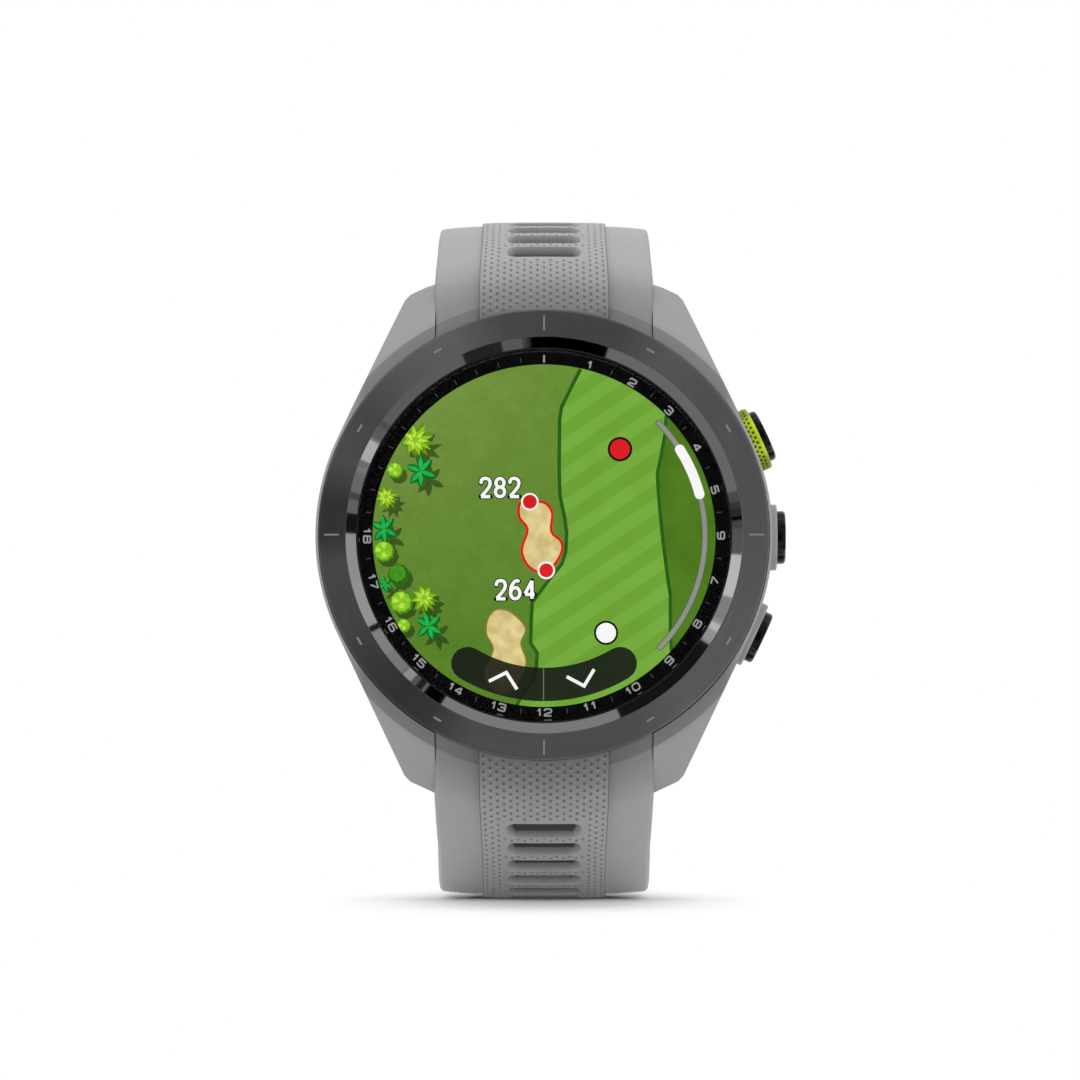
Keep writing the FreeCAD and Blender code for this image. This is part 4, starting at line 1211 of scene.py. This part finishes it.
q = 0.2
GL = {
    "0": [(rbox(0, 0, 1, 1), True)],
    "1": [([(0.18, 0.3), (0.62, 0.0), (0.62, 1.0)], False)],
    "2": [([(0, 0.28), (0, q), (q * 0.3, q * 0.3), (q, 0), (1 - q, 0), (1 - q * 0.3, q * 0.3), (1, q), (1, 0.36), (0.94, 0.48), (0.8, 0.54), (0.22, 0.7), (0.05, 0.8), (0, 1), (1, 1)], False)],
    "3": [([(0, 0.2), (0.05, 0.06), (q, 0), (1 - q, 0), (0.95, 0.06), (0.98, 0.2), (0.98, 0.34), (0.92, 0.45), (0.8, 0.49), (0.3, 0.49)], False),
          ([(0.8, 0.49), (0.94, 0.55), (1, 0.66), (1, 0.8), (0.95, 0.94), (1 - q, 1), (q, 1), (0.05, 0.94), (0, 0.8)], False)],
    "4": [([(0.74, 1.0), (0.74, 0.0)], False), ([(0.74, 0.02), (0.56, 0.12), (0.03, 0.70)], False), ([(0.0, 0.74), (1.02, 0.74)], False)],
    "5": [([(0.96, 0), (0.05, 0), (0.02, 0.46), (0.8, 0.44), (0.94, 0.5), (1, 0.62), (1, 0.8), (0.94, 0.94), (0.8, 1), (0.2, 1), (0.06, 0.95), (0, 0.84)], False)],
    "6": [([(0.96, 0.1), (0.88, 0), (0.2, 0), (0.06, 0.06), (0, 0.2), (0, 0.8), (0.06, 0.94), (0.2, 1), (0.8, 1), (0.94, 0.94), (1, 0.8), (1, 0.62), (0.94, 0.5), (0.8, 0.44), (0.04, 0.46)], False)],
    "7": [([(0, 0), (1, 0), (0.96, 0.14), (0.34, 1.0)], False)],
    "8": [(rbox(0.03, 0, 0.97, 0.47, 0.16), True), (rbox(0, 0.47, 1, 1, 0.18), True)],
    "9": [([(0.04, 0.9), (0.12, 1), (0.8, 1), (0.94, 0.94), (1, 0.8), (1, 0.2), (0.94, 0.06), (0.8, 0), (0.2, 0), (0.06, 0.06), (0, 0.2), (0, 0.38), (0.06, 0.5), (0.2, 0.56), (0.96, 0.54)], False)],
}
ADV = {"1": 0.8}


def digits(text, cx, cy, w, h, stroke, gap, ang, put):
    """Centred text; ang turns it clockwise; put(points, width, closed) draws one stroke."""
    widths = [w * ADV.get(ch, 1.0) for ch in text]
    total = sum(widths) + gap * (len(text) - 1)
    x = -total / 2
    ca, sa = math.cos(ang), math.sin(ang)
    for ch, wd in zip(text, widths):
        for pts, closed in GL[ch]:
            P = []
            for u, v in pts:
                ww = w if ch != "1" else w * 0.8
                X = x + stroke / 2 + u * (ww - stroke)
                Y = -h / 2 + stroke / 2 + v * (h - stroke)
                P.append((cx + X * ca - Y * sa, cy + X * sa + Y * ca))
            put(P, stroke, closed)
        x += wd + gap




def ell(cx, cy, rx, ry, n=22):
    return [(cx + rx * math.cos(2 * math.pi * i / n), cy + ry * math.sin(2 * math.pi * i / n)) for i in range(n)]


ROUND = {
    "2": [(smooth_loop([(0.02, 0.25), (0.05, 0.12), (0.2, 0.02), (0.48, -0.01), (0.78, 0.03), (0.95, 0.15), (0.97, 0.3), (0.86, 0.47), (0.5, 0.72), (0.06, 0.98)], False, 3), False), ([(0.02, 1.0), (1.0, 1.0)], False)],
    "8": [(ell(0.5, 0.24, 0.43, 0.245), True), (ell(0.5, 0.735, 0.49, 0.265), True)],
    "6": [(ell(0.5, 0.69, 0.49, 0.31), True), (smooth_loop([(0.86, 0.03), (0.66, -0.01), (0.42, 0.05), (0.16, 0.24), (0.03, 0.46), (0.01, 0.69)], False, 3), False)],
    "4": [([(0.74, 0.0), (0.74, 1.0)], False), ([(0.74, 0.0), (0.02, 0.72)], False), ([(0.02, 0.76), (1.02, 0.76)], False)],
}


def stroke(P, w, closed, layer, key):
    n = len(P)
    for i in (range(n) if closed else range(n - 1)):
        a, b = P[i], P[(i + 1) % n]
        L = math.hypot(b[0] - a[0], b[1] - a[1]) or 1e-9
        nx, ny = -(b[1] - a[1]) / L * w / 2, (b[0] - a[0]) / L * w / 2
        add_poly([(a[0] + nx, a[1] + ny), (b[0] + nx, b[1] + ny), (b[0] - nx, b[1] - ny), (a[0] - nx, a[1] - ny)], layer, key)
    for i in range(n):
        if closed or (0 < i < n - 1) or key == "black":
            add_poly([(P[i][0] + w / 2 * math.cos(k * math.pi / 5), P[i][1] + w / 2 * math.sin(k * math.pi / 5)) for k in range(10)], layer + 0.04, key)


for txt, x0, y0, x1, y1 in (("282", 478.6, 475.5, 521.2, 498.5), ("264", 493.9, 577.9, 536.5, 600.8)):
    cx, cy = (x0 + x1) / 2 - 544, (y0 + y1) / 2 - 535
    h, w1, st_ = y1 - y0 - 1.6, 12.7, 3.3
    for grow, key, layer in ((1.9, "black", 8.6), (0.0, "white", 9.4)):
        X0 = cx - (3 * w1 + 2 * 1.7) / 2
        for ch in txt:
            for pts, closed in ROUND[ch]:
                stroke([(X0 + st_ / 2 + u * (w1 - st_), cy - h / 2 + st_ / 2 + v * (h - st_)) for u, v in pts], st_ + grow, closed, layer, key)
            X0 += w1 + 1.7

pic = obj_from("screen_picture", layers["v"], layers["f"], pic_mats, layers["m"])
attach(pic, "case")

# ------------------------------------------------------------------ numbers and ticks printed on the black ring, self-lit as painted light
num = {"v": [], "f": [], "m": []}


def put_num(P, w, closed, th=0.006, m=0, y=1.205):
    """A stroke in millimetres (x right, y down) as a thin solid in front of the black ring."""
    n = len(P)
    seq = range(n) if closed else range(n - 1)
    for i in seq:
        a, b = P[i], P[(i + 1) % n]
        d = (b[0] - a[0], b[1] - a[1])
        L = math.hypot(*d) or 1e-9
        nx, ny = -d[1] / L * w / 2, d[0] / L * w / 2
        q4 = [(a[0] + nx, a[1] + ny), (b[0] + nx, b[1] + ny), (b[0] - nx, b[1] - ny), (a[0] - nx, a[1] - ny)]
        base = len(num["v"])
        num["v"] += [(x * MM, (y) * MM, -yy * MM) for x, yy in q4] + [(x * MM, (y + th) * MM, -yy * MM) for x, yy in q4]
        for f in ((0, 1, 2, 3), (7, 6, 5, 4), (0, 4, 5, 1), (1, 5, 6, 2), (2, 6, 7, 3), (3, 7, 4, 0)):
            num["f"].append(tuple(base + k for k in f))
            num["m"].append(m)
    # round joints
    for i in range(n):
        if not closed and i in (0, n - 1):
            continue
        c = P[i]
        base = len(num["v"])
        k = 10
        ring = [(c[0] + w / 2 * math.cos(2 * math.pi * j / k), c[1] + w / 2 * math.sin(2 * math.pi * j / k)) for j in range(k)]
        num["v"] += [(x * MM, (y - 0.0004) * MM, -yy * MM) for x, yy in ring] + [(x * MM, (y + th) * MM, -yy * MM) for x, yy in ring]
        num["f"].append(tuple(range(base, base + k)))
        num["f"].append(tuple(range(base + 2 * k - 1, base + k - 1, -1)))
        num["m"] += [m, m]
        for j in range(k):
            num["f"].append((base + (j + 1) % k, base + j, base + k + j, base + k + (j + 1) % k))
            num["m"].append(m)


RN = 16.25
for nmb in range(1, 19):
    a = math.radians(15 * nmb)
    cx, cy = RN * math.sin(a), -RN * math.cos(a)
    ang = a if nmb <= 5 else a + math.pi
    digits(str(nmb), cx, cy, 0.78, 0.76, 0.145, 0.09, ang, lambda P, w, c: put_num(P, w, c, y=1.2025))
ticks = [7.5 + 15 * k for k in range(1, 19)] + [285 + 15 * k for k in range(0, 6)] + [292.5 + 15 * k for k in range(0, 5)]
for t in sorted(set(ticks)):
    if abs(t - 360) < 1:
        continue
    a = math.radians(t)
    long_ = 0.45 if (t / 7.5) % 2 == 1 or t < 277 else 0.45
    p0 = ((RN - long_ / 2) * math.sin(a), -(RN - long_ / 2) * math.cos(a))
    p1 = ((RN + long_ / 2) * math.sin(a), -(RN + long_ / 2) * math.cos(a))
    put_num([p0, p1], 0.085, False, m=1, y=1.2025)
a = 0.0
put_num([(0, -RN - 0.36), (0, -RN + 0.36)], 0.16, False, m=0, y=1.2025)
# painted light: the printed numbers and ticks glow in their own colour though they are no lamp
numo = obj_from("dial_numbers", num["v"], num["f"],
                [lit("print_grey_self_lit", (158, 158, 160), (168, 168, 170), scale=3000, strength=0.9),
                 lit("print_dim_self_lit", (72, 72, 76), (78, 78, 82), scale=3000, strength=0.9)], num["m"])
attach(numo, "case")

# ------------------------------------------------------------------ camera
cam_d = bpy.data.cameras.new("cam")
cam_d.lens = 182.0
cam_d.sensor_width = 36.0
cam_d.clip_start = 0.01
cam_d.clip_end = 20
cam = bpy.data.objects.new("cam", cam_d)
C.objects.link(cam)
cam.location = (0.0, -0.5, -0.024)
aim = Vector((-0.00037, 0.0, -0.00046))
cam.rotation_mode = "QUATERNION"
cam.rotation_quaternion = (aim - cam.location).to_track_quat("-Z", "Y")
bpy.context.scene.camera = cam

# ------------------------------------------------------------------ studio
scn = bpy.context.scene
scn.view_settings.view_transform = "Standard"
scn.view_settings.look = "None"
world = bpy.data.worlds.new("studio")
scn.world = world
world.use_nodes = True
bg = world.node_tree.nodes["Background"]
bg.inputs[0].default_value = (1, 1, 1, 1)
bg.inputs[1].default_value = 0.84


def emit(name, v):
    m = bpy.data.materials.new(name)
    m.use_nodes = True
    t = m.node_tree
    t.nodes.clear()
    o = t.nodes.new("ShaderNodeOutputMaterial")
    e = t.nodes.new("ShaderNodeEmission")
    e.inputs[0].default_value = (1, 1, 1, 1)
    e.inputs[1].default_value = v
    t.links.new(e.outputs[0], o.inputs[0])
    return m


def only(o, camera=False, glossy=False, diffuse=False):
    o.visible_camera = camera
    o.visible_glossy = glossy
    o.visible_diffuse = diffuse
    o.visible_shadow = False
    o.visible_transmission = camera
    o.visible_volume_scatter = False


# white dome seen only by the camera
bm = bmesh.new()
bmesh.ops.create_icosphere(bm, subdivisions=4, radius=4.5)
me = bpy.data.meshes.new("dome")
bm.to_mesh(me)
bm.free()
me.materials.append(emit("dome_white", 1.0))
dome = bpy.data.objects.new("dome", me)
C.objects.link(dome)
only(dome, camera=True)
dome.visible_transmission = False

# floor: a pale disc that fades into the backdrop, with a painted shadow under the watch
FZ = CAD_LO.z - 0.00002
bm = bmesh.new()
bmesh.ops.create_circle(bm, cap_ends=True, segments=96, radius=0.30)
me = bpy.data.meshes.new("floor")
bm.to_mesh(me)
bm.free()
fm = Mat("floor_pale", Roughness=0.9, Specular_IOR_Level=0.0)
fm.set("Emission Color", (1, 1, 1, 1))
fm.set("Emission Strength", 0.0)
tr = fm.node("ShaderNodeBsdfTransparent")
mx = fm.node("ShaderNodeMixShader")
sep = fm.node("ShaderNodeSeparateXYZ")
fm.link(fm.coord(), sep.inputs[0])
ex = fm.math("MULTIPLY", sep.outputs[0], 1.7)
ey = fm.math("MULTIPLY", fm.math("ADD", sep.outputs[1], 0.032), 0.45)
rr = fm.math("SQRT", fm.math("ADD", fm.math("MULTIPLY", ex, ex), fm.math("MULTIPLY", ey, ey)))
fade = fm.remap(rr, 0.014, 0.034, 0, 1)
# painted shadow: the floor's colour darkens towards the middle, under the watch
fm.color(fm.mix(1.0, fm.mix(fm.noise(30, 2), (0.85, 0.85, 0.85), (0.87, 0.87, 0.87)), fm.ramp(fm.remap(rr, 0.0, 0.03, 0, 1), [(0.0, g(0.55)), (0.35, g(0.72)), (0.85, g(1.0))]), "MULTIPLY"))
out = fm.t.nodes["Material Output"]
fm.link(fade, mx.inputs[0])
fm.link(fm.p.outputs[0], mx.inputs[1])
fm.link(tr.outputs[0], mx.inputs[2])
fm.link(mx.outputs[0], out.inputs[0])
me.materials.append(fm.m)
floor = bpy.data.objects.new("floor", me)
floor.location = (0, 0.035, FZ)
C.objects.link(floor)
floor.visible_glossy = False

# reflection cards round the polished chamfer: (from, to, brightness) by clock angle on the bezel
CARDS = [(-4, 19, 0.0), (19, 77, 0.21), (77, 80, 0.11), (80, 82, 0.06), (82, 84.4, 0.034), (84.4, 85.6, 0.0), (85.6, 88, 0.09), (88, 95.7, 0.135), (95.7, 108.4, 0.75), (108.4, 109.2, 0.35),
         (109.2, 115.6, 0.33), (115.6, 117, 0.42), (117, 119.2, 0.72), (119.2, 122.8, 0.45), (122.8, 123.6, 0.35), (123.6, 157.3, 0.011), (157.3, 211.3, 0.30), (211.3, 217.5, 0.0), (217.5, 218.4, 0.2),
         (218.4, 220.5, 0.02), (220.5, 222.4, 0.13), (222.4, 225.4, 0.43), (225.4, 226.4, 0.22), (226.4, 233, 0.29), (233, 240.6, 0.34), (240.6, 242.4, 0.005), (242.4, 256, 0.46), (256, 270.5, 0.43),
         (270.5, 276.5, 0.01), (276.5, 280.5, 0.19), (280.5, 282.7, 0.09), (282.7, 288.8, 0.22), (288.8, 290.5, 0.28), (290.5, 292.5, 0.23), (292.5, 298.8, 0.64), (298.8, 299.6, 0.3),
         (299.6, 303.5, 0.165), (303.5, 305.5, 0.12), (305.5, 335.5, 0.168), (335.5, 347.5, 0.026), (347.5, 353.6, 0.15), (353.6, 354.8, 0.08), (354.8, 356, 0.04)]
# the eye sits a little below the middle, which turns each reflection by a few degrees
CARDS = [(a0 + 3.3 * math.sin(math.radians(a0)), a1 + 3.3 * math.sin(math.radians(a1)), v) for a0, a1, v in CARDS]
for i, (a0, a1, v) in enumerate(CARDS):
    R = 0.26
    n = max(2, int((a1 - a0) / 2) + 1)
    V, F = [], []
    for k in range(n + 1):
        a = math.radians(a0 + (a1 - a0) * k / n + 180)
        for pol in (55, 84):
            p = math.radians(pol)
            V.append((R * math.sin(p) * math.sin(a), -R * math.cos(p), R * math.sin(p) * math.cos(a)))
    for k in range(n):
        F.append((2 * k, 2 * k + 1, 2 * k + 3, 2 * k + 2))
    o = obj_from("card_%02d" % i, V, F, [emit("card_%02d" % i, v)])
    only(o, glossy=True)


def card(name, loc, target, w, h, v):
    o = obj_from(name, [(-w / 2, -h / 2, 0), (w / 2, -h / 2, 0), (w / 2, h / 2, 0), (-w / 2, h / 2, 0)], [(0, 1, 2, 3)], [emit(name, v)])
    o.location = loc
    o.rotation_mode = "QUATERNION"
    o.rotation_quaternion = (Vector(target) - Vector(loc)).to_track_quat("-Z", "Y")
    only(o, glossy=True)
    return o


# dark flag behind the camera keeps the glass clear
flag = card("flag_front", (0, -0.62, 0.02), (0, 0, 0), 0.5, 0.5, 0.02)
flag.visible_transmission = True


def area(name, loc, target, sx, sy, power, shadow=True):
    l = bpy.data.lights.new(name, "AREA")
    l.shape = "RECTANGLE"
    l.size, l.size_y = sx, sy
    l.energy = power
    o = bpy.data.objects.new(name, l)
    o.location = loc
    o.rotation_mode = "QUATERNION"
    o.rotation_quaternion = (Vector(target) - Vector(loc)).to_track_quat("-Z", "Y")
    o.visible_glossy = False
    C.objects.link(o)
    return o


area("key_top", (0.0, -0.10, 0.62), (0, 0.02, 0), 0.3, 0.3, 0.8)
area("front_low", (0.0, -0.75, -0.02), (0, 0.02, -0.03), 0.5, 0.12, 0.8)
area("back_soft", (0.0, 0.55, 0.45), (0, 0.03, 0), 0.6, 0.4, 1.2)
